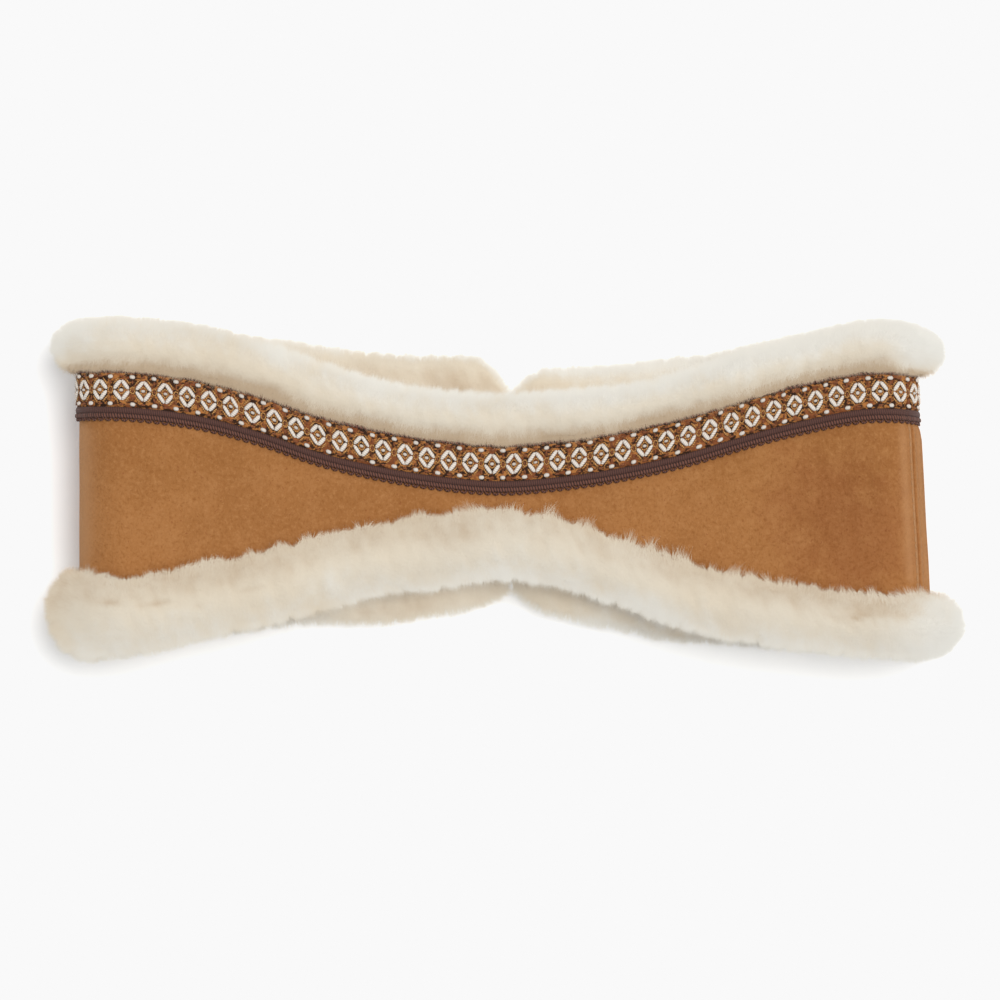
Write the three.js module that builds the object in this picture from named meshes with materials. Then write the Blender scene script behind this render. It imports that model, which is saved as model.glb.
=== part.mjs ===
// A shearling headband, lying flat: the front is uppermost, the back lies on the surface,
// and the band turns through half a circle at its left and right ends.
//
// Millimetres. +X runs to the right along the front, +Y to the band's upper edge, +Z up.
// The origin is the middle of the underside.
//
// Every piece is swept round the same closed loop. A place on the loop is its girth: the
// distance from the centre front along the suede's outer face, positive to the right. At
// each girth a piece has a flat section, whose corners are given by their height along Y
// and their stand, the distance out of the suede's outer face.

import * as THREE from 'three';

// ---- Driving dimensions -------------------------------------------------------------

const foldToFold = 278.6; // across the suede, at middle height
const foldRadius = 16.5; // outer face of the suede where it turns
const backHeight = 8; // outer face of the back suede above the surface
const frontSag = 3.5; // how far the middle of the front dips below its ends
const rightFoldLean = 0.05; // the right fold runs outward by this much for each mm downward
const leanStart = 60; // x from which the lean sets in

const suedeThickness = 1.5;
const pileDepth = 9; // wool on the inside of the panels
const gap = 0.3; // between neighbouring pieces

const trimThickness = 1.2;
const trimTuck = 0.8; // how far the trim's top edge lies under the upper roll
const topEdgingWidth = 1.2;
const ribbonWidth = 10.8;
const picotEdgingWidth = 4.6;

const woolLap = 1.5; // how far each roll laps over the suede's edge
const upperStand = { flat: 8.6, fold: 9.7 }; // how far the wool stands out of the suede
const lowerStand = { flat: 9.3, fold: 11 };
const upperEndShare = 0.42; // height of the upper roll at its very end, of its full height
const lowerEndShare = 0.87; // and of the lower roll, which is cut nearly square
const rollEndStand = 0.7; // a roll's stand there, as a share of its full stand
const rollEndLength = 11; // the roll's height grows to its full value over this length

const centreBackX = 3; // the centre-back seam lies this far to the right of the middle
const rightSeamAngle = 54; // degrees round the right fold from its front end
const leftSeamAngle = 120; // degrees round the left fold from its front end

const frontSteps = 24;
const foldSteps = 12;
const backSteps = 10; // for each half of the back
const rollEndSteps = 4; // extra sections that round off the ends of the rolls

const suedeColour = 0xac7446;
const woolColour = 0xddd0ba;
const ribbonColour = 0x9a6232;
const edgingColour = 0x4c3028;

// ---- Sizes that follow --------------------------------------------------------------

const straightHalf = foldToFold / 2 - foldRadius; // from the middle to the start of a fold
const foldLength = Math.PI * foldRadius;
const foldMiddle = straightHalf + foldLength / 2;
const foldEnd = straightHalf + foldLength;
const halfGirth = foldEnd + straightHalf;
const frontHeight = backHeight + 2 * foldRadius;
const wallThickness = suedeThickness + gap + pileDepth;

const leftEnd = -(halfGirth + centreBackX);
const rightEnd = halfGirth - centreBackX;
const leftSeam = -(straightHalf + foldLength * leftSeamAngle / 180);
const rightSeam = straightHalf + foldLength * rightSeamAngle / 180;

// ---- Outline ------------------------------------------------------------------------

// Heights of the band's edges above its middle line. rollTop and rollLow are the tips of
// the wool, and woolTop and woolLow the lines where the wool starts on the outer face.
const frontOutline = [
  { x: -straightHalf, rollTop: 56.4, woolTop: 38.4, woolLow: -28.9, rollLow: -55.6 },
  { x: -100, rollTop: 54.0, woolTop: 35.6, woolLow: -25.6, rollLow: -51.2 },
  { x: -80, rollTop: 49.6, woolTop: 30.4, woolLow: -21.2, rollLow: -46.6 },
  { x: -60, rollTop: 42.4, woolTop: 23.6, woolLow: -16.2, rollLow: -41.6 },
  { x: -40, rollTop: 36.0, woolTop: 18.8, woolLow: -11.9, rollLow: -35.8 },
  { x: -20, rollTop: 33.0, woolTop: 15.6, woolLow: -9.8, rollLow: -33.4 },
  { x: 0, rollTop: 31.8, woolTop: 14.1, woolLow: -8.5, rollLow: -31.4 },
  { x: 20, rollTop: 32.2, woolTop: 15.6, woolLow: -10.2, rollLow: -33.4 },
  { x: 40, rollTop: 34.0, woolTop: 18.6, woolLow: -17.2, rollLow: -40.2 },
  { x: 60, rollTop: 38.8, woolTop: 23.0, woolLow: -24.0, rollLow: -46.8 },
  { x: 80, rollTop: 45.4, woolTop: 28.9, woolLow: -28.6, rollLow: -51.4 },
  { x: 100, rollTop: 50.0, woolTop: 34.0, woolLow: -32.4, rollLow: -54.4 },
  { x: straightHalf, rollTop: 55.2, woolTop: 37.9, woolLow: -34.6, rollLow: -56.4 },
];

const leftFoldOutline = { rollTop: 56.6, woolTop: 38.5, woolLow: -28.6, rollLow: -56.6 };
const rightFoldOutline = { rollTop: 54.4, woolTop: 37.0, woolLow: -34.8, rollLow: -56.6 };

// The back, from each fold to the centre-back seam.
const backLeftOutline = [
  { x: -straightHalf, rollTop: 56.0, woolTop: 38.2, woolLow: -28.6, rollLow: -54.8 },
  { x: -95, rollTop: 52.2, woolTop: 33.2, woolLow: -24.6, rollLow: -49.4 },
  { x: -65, rollTop: 48.0, woolTop: 28.2, woolLow: -19.6, rollLow: -45.2 },
  { x: -35, rollTop: 45.1, woolTop: 26.2, woolLow: -18.2, rollLow: -45.0 },
  { x: -12, rollTop: 44.4, woolTop: 25.2, woolLow: -16.4, rollLow: -41.2 },
  { x: centreBackX, rollTop: 42.4, woolTop: 24.0, woolLow: -15.6, rollLow: -38.4 },
];
const backRightOutline = [
  { x: centreBackX, rollTop: 39.4, woolTop: 24.0, woolLow: -15.6, rollLow: -37.6 },
  { x: 16, rollTop: 39.6, woolTop: 22.4, woolLow: -16.8, rollLow: -42.0 },
  { x: 38, rollTop: 40.9, woolTop: 23.4, woolLow: -22.8, rollLow: -47.0 },
  { x: 52, rollTop: 42.6, woolTop: 24.3, woolLow: -25.6, rollLow: -50.8 },
  { x: 66, rollTop: 44.6, woolTop: 25.6, woolLow: -27.6, rollLow: -52.0 },
  { x: 95, rollTop: 50.0, woolTop: 31.4, woolLow: -31.6, rollLow: -53.6 },
  { x: straightHalf, rollTop: 54.2, woolTop: 37.0, woolLow: -34.4, rollLow: -55.6 },
];

// A roll's section from its seat on the panel's edge, round the inside, the tip and the
// outside, to where its lip starts. reach is a share of the roll's height. A positive
// level is a share of its stand, and a negative one a share of the wall behind it.
const lipLevel = 0.45; // how far up the lip rises, between its clearance and the full stand
const rollSection = [
  { reach: 0, level: -1 },
  { reach: 0.5, level: -1 },
  { reach: 0.8, level: -0.9 },
  { reach: 0.95, level: -0.68 },
  { reach: 1, level: -0.4 },
  { reach: 0.98, level: -0.06 },
  { reach: 0.91, level: 0.34 },
  { reach: 0.78, level: 0.68 },
  { reach: 0.6, level: 0.93 },
  { reach: 0.42, level: 1 },
  { reach: 0.22, level: 0.94 },
  { reach: 0.06, level: 0.74 },
];

// ---- The loop -----------------------------------------------------------------------

// The point on the suede's outer face at a girth, and the direction out of it in X and Z.
function loopPoint(girth) {
  const side = Math.sign(girth) || 1;
  const along = Math.abs(girth);
  if (along <= straightHalf) {
    const dip = frontSag * Math.cos(Math.PI * along / (2 * straightHalf)) ** 2;
    return { x: girth, z: frontHeight - dip, outX: 0, outZ: 1 };
  }
  if (along <= foldEnd) {
    const angle = (along - straightHalf) / foldRadius;
    return {
      x: side * (straightHalf + foldRadius * Math.sin(angle)),
      z: backHeight + foldRadius * (1 + Math.cos(angle)),
      outX: side * Math.sin(angle),
      outZ: Math.cos(angle),
    };
  }
  return { x: side * (halfGirth - along), z: backHeight, outX: 0, outZ: -1 };
}

// How far a place at this x moves outward for each mm below the middle line.
function leanAt(x) {
  return rightFoldLean * THREE.MathUtils.smoothstep(x, leanStart, straightHalf);
}

// 1 in the middle of a fold and 0 on the flat stretches.
function foldShare(girth) {
  const fromMiddle = Math.abs(Math.abs(girth) - foldMiddle);
  return Math.cos(Math.PI * Math.min(fromMiddle / foldLength, 0.5)) ** 2;
}

// ---- Outline by girth ---------------------------------------------------------------

const outlineColumns = ['rollTop', 'woolTop', 'woolLow', 'rollLow'];

const outlineRows = [
  ...backLeftOutline.map((row) => ({ girth: -(halfGirth + row.x), ...row })),
  { girth: -foldMiddle, ...leftFoldOutline },
  ...frontOutline.map((row) => ({ girth: row.x, ...row })),
  { girth: foldMiddle, ...rightFoldOutline },
  ...backRightOutline.map((row) => ({ girth: halfGirth - row.x, ...row })),
].sort((first, second) => first.girth - second.girth);

const outlineCurve = new THREE.CubicInterpolant(
  outlineRows.map((row) => row.girth),
  outlineRows.flatMap((row) => outlineColumns.map((column) => row[column])),
  outlineColumns.length,
);

function outlineAt(girth) {
  const values = outlineCurve.evaluate(girth);
  return Object.fromEntries(outlineColumns.map((column, place) => [column, values[place]]));
}

// ---- Sweeping a section round the loop ----------------------------------------------

function evenly(from, to, steps) {
  return Array.from({ length: steps + 1 }, (_, step) => from + (to - from) * step / steps);
}

const stations = [
  ...evenly(leftEnd, leftEnd + rollEndLength, rollEndSteps),
  ...evenly(leftEnd + rollEndLength, -foldEnd, backSteps),
  ...evenly(-foldEnd, -straightHalf, foldSteps),
  ...evenly(-straightHalf, straightHalf, frontSteps),
  ...evenly(straightHalf, foldEnd, foldSteps),
  ...evenly(foldEnd, rightEnd - rollEndLength, backSteps),
  ...evenly(rightEnd - rollEndLength, rightEnd, rollEndSteps),
];

// Carries a section from one girth to another and closes both ends. sectionAt gives the
// section's corners at a girth, anticlockwise with Y to the right and the stand upward.
// Wool that would reach below the surface lies flat on it.
function sweep(from, to, sectionAt) {
  const inside = stations.filter((girth, place) =>
    girth > from + gap && girth < to - gap && girth > (stations[place - 1] ?? -Infinity) + gap);
  const girths = [from, ...inside, to];
  const positions = [];
  for (const girth of girths) {
    const place = loopPoint(girth);
    for (const corner of sectionAt(girth)) {
      const x = place.x + place.outX * corner.stand - leanAt(place.x) * corner.height;
      const z = Math.max(place.z + place.outZ * corner.stand, 0);
      positions.push(x, corner.height, z);
    }
  }

  const contour = sectionAt(from).map((corner) => new THREE.Vector2(corner.height, corner.stand));
  const endContour = sectionAt(to).map((corner) => new THREE.Vector2(corner.height, corner.stand));
  const corners = contour.length;
  const lastRing = (girths.length - 1) * corners;
  const faces = [];
  for (let ring = 0; ring < lastRing; ring += corners) {
    for (let corner = 0; corner < corners; corner += 1) {
      const near = ring + corner;
      const nearNext = ring + (corner + 1) % corners;
      faces.push(near, nearNext, nearNext + corners);
      faces.push(near, nearNext + corners, near + corners);
    }
  }
  for (const [first, second, third] of THREE.ShapeUtils.triangulateShape(contour, [])) {
    faces.push(third, second, first);
  }
  for (const [first, second, third] of THREE.ShapeUtils.triangulateShape(endContour, [])) {
    faces.push(lastRing + first, lastRing + second, lastRing + third);
  }

  const geometry = new THREE.BufferGeometry();
  geometry.setAttribute('position', new THREE.Float32BufferAttribute(positions, 3));
  geometry.setIndex(faces);
  geometry.computeVertexNormals();
  return geometry;
}

// ---- Sections -----------------------------------------------------------------------

// A flat strip between two heights and two stands.
function strip(low, high, inner, outer) {
  return [
    { height: low, stand: inner },
    { height: high, stand: inner },
    { height: high, stand: outer },
    { height: low, stand: outer },
  ];
}

// The panels' edges lie under the wool that laps over them.
function panelEdges(girth) {
  const outline = outlineAt(girth);
  return { top: outline.woolTop + woolLap, low: outline.woolLow - woolLap };
}

function suedeSection(girth) {
  const edges = panelEdges(girth);
  return strip(edges.low, edges.top, -suedeThickness, 0);
}

function fleeceSection(girth) {
  const edges = panelEdges(girth);
  return strip(edges.low, edges.top, -wallThickness, -suedeThickness - gap);
}

// A strip of the trim, between two distances below the trim's top edge.
function trimSection(start, width) {
  return (girth) => {
    const top = outlineAt(girth).woolTop + trimTuck - start;
    return strip(top - width, top, gap, gap + trimThickness);
  };
}

// How full a roll is: 0 at its ends at the centre back, and 1 a little further round.
function rollFullness(girth) {
  const fromEnd = Math.min(girth - leftEnd, rightEnd - girth);
  const share = THREE.MathUtils.clamp(fromEnd / rollEndLength, 0, 1);
  return Math.sin((share * Math.PI) / 2);
}

// A roll that reaches from its panel edge to its tip, with its lip clear above whatever
// lies on the suede there. The lower roll reaches down, so its corners run the other way.
function rollCorners(girth, edge, tip, stand, endShare, lipClearance) {
  const fullness = rollFullness(girth);
  const direction = Math.sign(tip - edge);
  const fullHeight = Math.abs(tip - edge) - gap;
  const height = fullHeight * THREE.MathUtils.lerp(endShare, 1, fullness);
  const stretchedStand = THREE.MathUtils.lerp(stand.flat, stand.fold, foldShare(girth));
  const fullStand = stretchedStand * THREE.MathUtils.lerp(rollEndStand, 1, fullness);
  const seat = edge + direction * gap;
  const lipEdge = edge - direction * woolLap;
  const corners = rollSection.map(({ reach, level }) => ({
    height: seat + direction * reach * height,
    stand: level * (level > 0 ? fullStand : wallThickness),
  }));
  corners.push({ height: lipEdge, stand: THREE.MathUtils.lerp(lipClearance, fullStand, lipLevel) });
  corners.push({ height: lipEdge, stand: lipClearance });
  corners.push({ height: seat, stand: lipClearance });
  return direction > 0 ? corners : corners.reverse();
}

function upperRollSection(girth) {
  const { top } = panelEdges(girth);
  const { rollTop } = outlineAt(girth);
  return rollCorners(girth, top, rollTop, upperStand, upperEndShare, trimThickness + 2 * gap);
}

function lowerRollSection(girth) {
  const { low } = panelEdges(girth);
  const { rollLow } = outlineAt(girth);
  return rollCorners(girth, low, rollLow, lowerStand, lowerEndShare, gap);
}

// ---- Assembly -----------------------------------------------------------------------

const suede = new THREE.MeshStandardMaterial({ color: suedeColour, roughness: 0.95, metalness: 0 });
const wool = new THREE.MeshStandardMaterial({ color: woolColour, roughness: 1, metalness: 0 });
const ribbon = new THREE.MeshStandardMaterial({ color: ribbonColour, roughness: 0.85, metalness: 0 });
const edging = new THREE.MeshStandardMaterial({ color: edgingColour, roughness: 0.85, metalness: 0 });

const frontSpan = [leftSeam, rightSeam];
const backLeftSpan = [leftEnd, leftSeam];
const backRightSpan = [rightSeam, rightEnd];
const wholeSpan = [leftEnd, rightEnd];

const ribbonStart = topEdgingWidth + gap;
const picotStart = ribbonStart + ribbonWidth + gap;
const topEdgingSection = trimSection(0, topEdgingWidth);
const ribbonSection = trimSection(ribbonStart, ribbonWidth);
const picotEdgingSection = trimSection(picotStart, picotEdgingWidth);

const pieces = [
  { name: 'front_panel', span: frontSpan, section: suedeSection, material: suede },
  { name: 'back_left_panel', span: backLeftSpan, section: suedeSection, material: suede },
  { name: 'back_right_panel', span: backRightSpan, section: suedeSection, material: suede },
  { name: 'front_fleece', span: frontSpan, section: fleeceSection, material: wool },
  { name: 'back_left_fleece', span: backLeftSpan, section: fleeceSection, material: wool },
  { name: 'back_right_fleece', span: backRightSpan, section: fleeceSection, material: wool },
  { name: 'upper_wool_roll', span: wholeSpan, section: upperRollSection, material: wool },
  { name: 'lower_wool_roll', span: wholeSpan, section: lowerRollSection, material: wool },
  { name: 'trim_top_edging', span: wholeSpan, section: topEdgingSection, material: edging },
  { name: 'trim_ribbon', span: wholeSpan, section: ribbonSection, material: ribbon },
  { name: 'trim_picot_edging', span: wholeSpan, section: picotEdgingSection, material: edging },
];

const headband = new THREE.Group();
for (const { name, span, section, material } of pieces) {
  const [from, to] = span;
  const mesh = new THREE.Mesh(sweep(from + gap / 2, to - gap / 2, section), material);
  mesh.name = name;
  headband.add(mesh);
}

// The origin is the middle of the underside.
const bounds = new THREE.Box3().setFromObject(headband);
const middle = bounds.getCenter(new THREE.Vector3());
headband.position.set(-middle.x, -middle.y, -bounds.min.z);

export default headband;
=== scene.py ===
from itertools import product

import bpy
import numpy as np
from bpy.props import FloatProperty, FloatVectorProperty, IntProperty, PointerProperty
from bpy.types import Operator, Panel, PropertyGroup
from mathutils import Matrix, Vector


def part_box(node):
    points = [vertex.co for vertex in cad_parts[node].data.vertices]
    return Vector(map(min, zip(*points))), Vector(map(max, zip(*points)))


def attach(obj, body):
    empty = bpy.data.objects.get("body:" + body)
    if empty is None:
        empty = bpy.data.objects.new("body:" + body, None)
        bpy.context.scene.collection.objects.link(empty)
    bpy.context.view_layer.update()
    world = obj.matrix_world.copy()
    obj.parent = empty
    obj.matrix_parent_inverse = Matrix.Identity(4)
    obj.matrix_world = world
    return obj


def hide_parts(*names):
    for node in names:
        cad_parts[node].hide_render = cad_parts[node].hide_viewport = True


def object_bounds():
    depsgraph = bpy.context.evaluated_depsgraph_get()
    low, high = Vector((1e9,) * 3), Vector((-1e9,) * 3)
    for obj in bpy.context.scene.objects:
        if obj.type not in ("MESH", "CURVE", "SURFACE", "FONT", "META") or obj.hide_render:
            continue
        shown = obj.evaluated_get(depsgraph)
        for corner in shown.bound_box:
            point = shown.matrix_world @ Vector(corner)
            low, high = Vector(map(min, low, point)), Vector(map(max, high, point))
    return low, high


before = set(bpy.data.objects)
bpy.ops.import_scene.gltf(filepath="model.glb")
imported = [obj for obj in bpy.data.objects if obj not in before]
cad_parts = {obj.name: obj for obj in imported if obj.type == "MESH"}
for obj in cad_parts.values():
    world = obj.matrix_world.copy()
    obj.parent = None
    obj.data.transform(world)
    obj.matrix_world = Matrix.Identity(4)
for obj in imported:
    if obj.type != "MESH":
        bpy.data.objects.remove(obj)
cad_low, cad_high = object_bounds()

bl_info = {
    "name": "Shearling Headband",
    "version": (1, 0, 0),
    "blender": (4, 5, 0),
    "location": "View3D > Sidebar > Headband",
    "description": "A suede headband with a wool lining, rolled wool edges and a woven trim",
    "category": "Add Mesh",
}

# The band is worked out in millimetres and goes into the meshes in metres. A place on it
# is given by its girth, the distance round the suede's outer face from the centre front,
# its height along Y, and its stand, the distance out of the suede's outer face.
MM = 0.001

# ---- The band's measures, as the solid model has them ---------------------------------

# Lengths are in millimetres, and the seams' angles in degrees round a fold from the front.
# The gap is left free between neighbours, and the lap and the tuck are what the wool's edge
# covers of the suede and of the trim.
FOLD_TO_FOLD = 278.6
FOLD_RADIUS = 16.5
BACK_HEIGHT = 8.0
FRONT_SAG = 3.5
RIGHT_FOLD_LEAN = 0.05
LEAN_START = 60.0
SUEDE_THICKNESS = 1.5
WALL_THICKNESS = 10.8
GAP = 0.3
WOOL_LAP = 1.5
TRIM_TUCK = 0.8
CENTRE_BACK_X = 3.0
RIGHT_SEAM_ANGLE = 54.0
LEFT_SEAM_ANGLE = 120.0

STRAIGHT_HALF = FOLD_TO_FOLD / 2 - FOLD_RADIUS
FOLD_LENGTH = np.pi * FOLD_RADIUS
FOLD_MIDDLE = STRAIGHT_HALF + FOLD_LENGTH / 2
FOLD_END = STRAIGHT_HALF + FOLD_LENGTH
HALF_GIRTH = FOLD_END + STRAIGHT_HALF
LEFT_END = -(HALF_GIRTH + CENTRE_BACK_X) + GAP / 2
RIGHT_END = HALF_GIRTH - CENTRE_BACK_X - GAP / 2
LEFT_SEAM = -(STRAIGHT_HALF + FOLD_LENGTH * LEFT_SEAM_ANGLE / 180)
RIGHT_SEAM = STRAIGHT_HALF + FOLD_LENGTH * RIGHT_SEAM_ANGLE / 180
GIRTH_LENGTH = RIGHT_END - LEFT_END

# The wall's panels, by where each starts and ends round the band.
PANELS = {
    "front": (LEFT_SEAM + GAP / 2, RIGHT_SEAM - GAP / 2),
    "back_left": (LEFT_END, LEFT_SEAM - GAP / 2),
    "back_right": (RIGHT_SEAM + GAP / 2, RIGHT_END),
}
# The seams, and the sides of each on which it is topstitched.
SEAMS = {LEFT_SEAM: (-1, 1), RIGHT_SEAM: (-1, 1), LEFT_END: (1,), RIGHT_END: (-1,)}

# Heights of the edges round the band: the tip of the upper roll, the lines where the wool
# starts on the outer face, and the tip of the lower roll.
OUTLINE_COLUMNS = ("girth", "roll_top", "wool_top", "wool_low", "roll_low")
OUTLINE = np.array([
    (-(HALF_GIRTH + 3), 42.4, 24.0, -15.6, -38.4),
    (-(HALF_GIRTH - 12), 44.4, 25.2, -16.4, -41.2),
    (-(HALF_GIRTH - 35), 45.1, 26.2, -18.2, -45.0),
    (-(HALF_GIRTH - 65), 48.0, 28.2, -19.6, -45.2),
    (-(HALF_GIRTH - 95), 52.2, 33.2, -24.6, -49.4),
    (-FOLD_END, 56.0, 38.2, -28.6, -54.8),
    (-FOLD_MIDDLE, 56.6, 38.5, -28.6, -56.6),
    (-STRAIGHT_HALF, 56.4, 38.4, -28.9, -55.6),
    (-100, 54.0, 35.6, -25.6, -51.2),
    (-80, 49.6, 30.4, -21.2, -46.6),
    (-60, 42.4, 23.6, -16.2, -41.6),
    (-40, 36.0, 18.8, -11.9, -35.8),
    (-20, 33.0, 15.6, -9.8, -33.4),
    (0, 31.8, 14.1, -8.5, -31.4),
    (20, 32.2, 15.6, -10.2, -33.4),
    (40, 34.0, 18.6, -17.2, -40.2),
    (60, 38.8, 23.0, -24.0, -46.8),
    (80, 45.4, 28.9, -28.6, -51.4),
    (100, 50.0, 34.0, -32.4, -54.4),
    (STRAIGHT_HALF, 55.2, 37.9, -34.6, -56.4),
    (FOLD_MIDDLE, 54.4, 37.0, -34.8, -56.6),
    (FOLD_END, 54.2, 37.0, -34.4, -55.6),
    (HALF_GIRTH - 95, 50.0, 31.4, -31.6, -53.6),
    (HALF_GIRTH - 66, 44.6, 25.6, -27.6, -52.0),
    (HALF_GIRTH - 52, 42.6, 24.3, -25.6, -50.8),
    (HALF_GIRTH - 38, 40.9, 23.4, -22.8, -47.0),
    (HALF_GIRTH - 16, 39.6, 22.4, -16.8, -42.0),
    (HALF_GIRTH - 3, 39.4, 24.0, -15.6, -37.6),
])

# A roll's section, from its seat on the panel's edge round the inside, the tip and the
# outside to where its lip starts: a share of the roll's height, and a share of its stand,
# or of the wall behind it where that is negative.
ROLL_SECTION = np.array([
    (0.0, -1.0), (0.5, -1.0), (0.8, -0.9), (0.95, -0.68), (1.0, -0.4), (0.98, -0.06),
    (0.91, 0.34), (0.78, 0.68), (0.6, 0.93), (0.42, 1.0), (0.22, 0.94), (0.06, 0.74),
])
# At a roll's ends: its share of its stand there, and the girth over which it comes to it.
ROLL_END_STAND = 0.7
ROLL_END_LENGTH = 11.0
# At the lip: the wool's share of the way from the lip's stand to the roll's, and how far
# back the lip may wander.
LIP_LEVEL = 0.45
LIP_BACK = 1.1

# Each roll: which way it reaches, the columns of its edge and its tip, how far it stands out
# on the flat and in the folds, and its share of height at its ends; its lip's stand, how far
# the lip wanders and how far it stays off the edge; its fringe's length by girth, and how
# thick that lies; how far its locks stand out; how much paler its wool is on the right half
# of the back, as painted light; its painted light on the back by the front's outline, where
# the front roll's shadow falls; and its painted light and shade by X.
ROLLS = {
    "upper": {
        "way": 1, "edge": "wool_top", "tip": "roll_top", "flat": 8.6, "fold": 9.7, "end": 0.42,
        "lip": 1.8, "wander": 0.3, "back_off": 0.5,
        "fringe": np.array([(-152, 0.7), (152, 0.7)]),
        "pad": 0.75, "locks": 0.2, "behind": 0.5, "painted_light_under_front": 0.0,
        "painted_light_by_x": np.array([(-152, 0.75), (-138, 0.35), (-120, 0.05), (40, 0.0), (125, 0.12), (152, 0.8)]),
    },
    "lower": {
        "way": -1, "edge": "wool_low", "tip": "roll_low", "flat": 9.3, "fold": 11.0, "end": 0.87,
        "lip": 0.3, "wander": 1.1, "back_off": 0.0,
        "fringe": np.array([(-152, 1.3), (-60, 1.4), (-10, 2.1), (60, 2.4), (100, 1.8), (152, 1.5)]),
        "pad": 1.0, "locks": 0.45, "behind": 0.35, "painted_light_under_front": 0.3,
        "painted_light_by_x": np.array([
            (-152, -0.2), (-140, 0.0), (-125, 0.05), (-90, 0.0), (40, 0.0),
            (100, -0.13), (128, -0.2), (138, -0.05), (146, 0.35), (152, 0.9),
        ]),
    },
}

# The wool's shade at places round each roll's section, counted in corners: 0 as deep in the
# pile, 1 as at its tips, and more for a painted highlight on the rims; towards each lip it
# falls into painted shade, by the trim and by the suede.
ROLL_TONES = {
    "upper": np.array([
        (0.0, 0.4), (1.5, 0.62), (3.0, 1.1), (4.5, 1.5), (6.5, 1.35),
        (9.0, 0.95), (10.2, 0.68), (11.2, 0.22), (11.8, -0.1), (12.6, -0.6),
    ]),
    "lower": np.array([
        (0.0, 0.4), (1.5, 0.55), (3.0, 0.9), (4.5, 1.4), (6.5, 1.25),
        (8.2, 1.0), (9.2, 0.85), (10.0, 0.64), (11.5, 0.54), (12.6, 0.4),
    ]),
}
# The shade past which the wool takes a painted highlight on its rims, and how much of what
# is past it each X has: the rims are painted lighter towards the right.
HIGHLIGHT_START = 0.95
RIM_HIGHLIGHT = np.array([(-150, 0.45), (-60, 0.6), (0, 1.0), (150, 1.3)])
# Painted shade between the tufts and in creases, and painted light on locks: how much darker
# the wool is a tuft's size away from its middle, as far from a finer tuft's, and in a crease,
# how much paler on a lock, and at what share of a tuft's size it is neither.
TUFT_SHADE, FINE_SHADE, CREASE_SHADE, LOCK_SHADE = 0.14, 0.08, 0.35, 0.17
NEUTRAL_AWAY = 0.35

# Noises, each by its layers' cell size, seed and share: the suede's waves, the lip's
# wandering, and on the fleece its swells, what bends the rows of tufts, its locks and its
# clouds of shade.
SUEDE_WAVES = ((38.0, 11, 0.35), (12.0, 12, 0.12))
LIP_WAVES = ((11.0, 31, 1.0), (3.6, 35, 0.7), (1.4, 39, 0.35))
FLEECE_SWELLS = ((24.0, 27, 0.9), (8.0, 28, 0.35), (1.1, 29, 0.08))
TUFT_BENDS = ((11.0, 21, 2.0),)
LOCKS = ((4.2, 23, 0.6), (1.9, 26, 0.6))
CLOUDS = ((15.0, 24, 0.14),)
# The size of the finer tufts, as a share of the others'.
FINE_TUFT = 0.42

# Creases in the wool: where each starts and ends round the band, its height, and its depth.
CREASES = (
    (-130.0, -96.0, -38.2, 1.0),
    (98.0, 121.0, -42.2, 0.9),
    (-88.0, -74.0, -33.4, 0.6),
)

# Beside a seam: how far off its ridges stand, their height, the seam's depth, and the width
# of both; and the bands of the suede's painted highlight and shade, each by how far off it
# lies, its width and how much paler it is.
RIDGE_OFF, RIDGE_HEIGHT, SEAM_DEPTH, RIDGE_WIDTH = 1.0, 0.5, 0.7, 0.55
SEAM_TONES = ((1.15, 0.5, 0.45), (4.2, 2.6, 0.3), (0.0, 0.5, -0.4))

# How far the trim reaches below the wool's edge.
TRIM_HEIGHT = 16.4
# The ribbon: where it starts below the trim's top edge, its width, and how much more is
# tucked under the cord on each side.
RIBBON_START, RIBBON_WIDTH, SELVEDGE = 1.5, 10.8, 0.4


# ---- Numbers --------------------------------------------------------------------------

# Odd factors that spread a whole number's bits over a 64-bit word.
SPREAD, STIR = np.uint64(0x9E3779B97F4A7C15), np.uint64(0xBF58476D1CE4E5B9)


def scatter(*whole, seed):
    """A repeatable random number in [0, 1) for each set of whole numbers: each is mixed
    into a 64-bit word by multiplying, shifting and exclusive or."""
    mixed = np.uint64(seed * 2654435761 + 12345)
    with np.errstate(over="ignore"):
        for numbers in whole:
            mixed = (mixed ^ np.asarray(numbers, np.int64).astype(np.uint64)) * SPREAD
            mixed = (mixed ^ (mixed >> np.uint64(29))) * STIR
            mixed = mixed ^ (mixed >> np.uint64(32))
    return (mixed >> np.uint64(11)).astype(np.float64) / 2.0 ** 53


def noise(points, cell, seed):
    """Smooth noise in [-1, 1] at points in space: random values on a cubic lattice of that
    cell size, blended along each axis by 3t^2 - 2t^3."""
    scaled = np.asarray(points) / cell
    corner = np.floor(scaled)
    part = scaled - corner
    part = part * part * (3 - 2 * part)
    corner = corner.astype(np.int64)
    total = np.zeros(scaled.shape[:-1])
    for step in product((0, 1), repeat=3):
        share = np.prod(np.where(step, part, 1 - part), axis=-1)
        total += share * scatter(*np.moveaxis(corner + step, -1, 0), seed=seed)
    return 2 * total - 1


def layered(points, layers, shift=0):
    """The sum of a noise's layers, each times its share, with their seeds shifted."""
    return sum(share * noise(points, cell, seed + shift) for cell, seed, share in layers)


def girth_line(girth):
    """Points on a straight line, for noise that changes with the girth alone."""
    return np.stack([girth, 0 * girth, 0 * girth], -1)


def even_girths(step, start=LEFT_END, end=RIGHT_END):
    """Girths spread evenly from a start to an end, about a step apart."""
    return np.linspace(start, end, int((end - start) / step))


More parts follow.
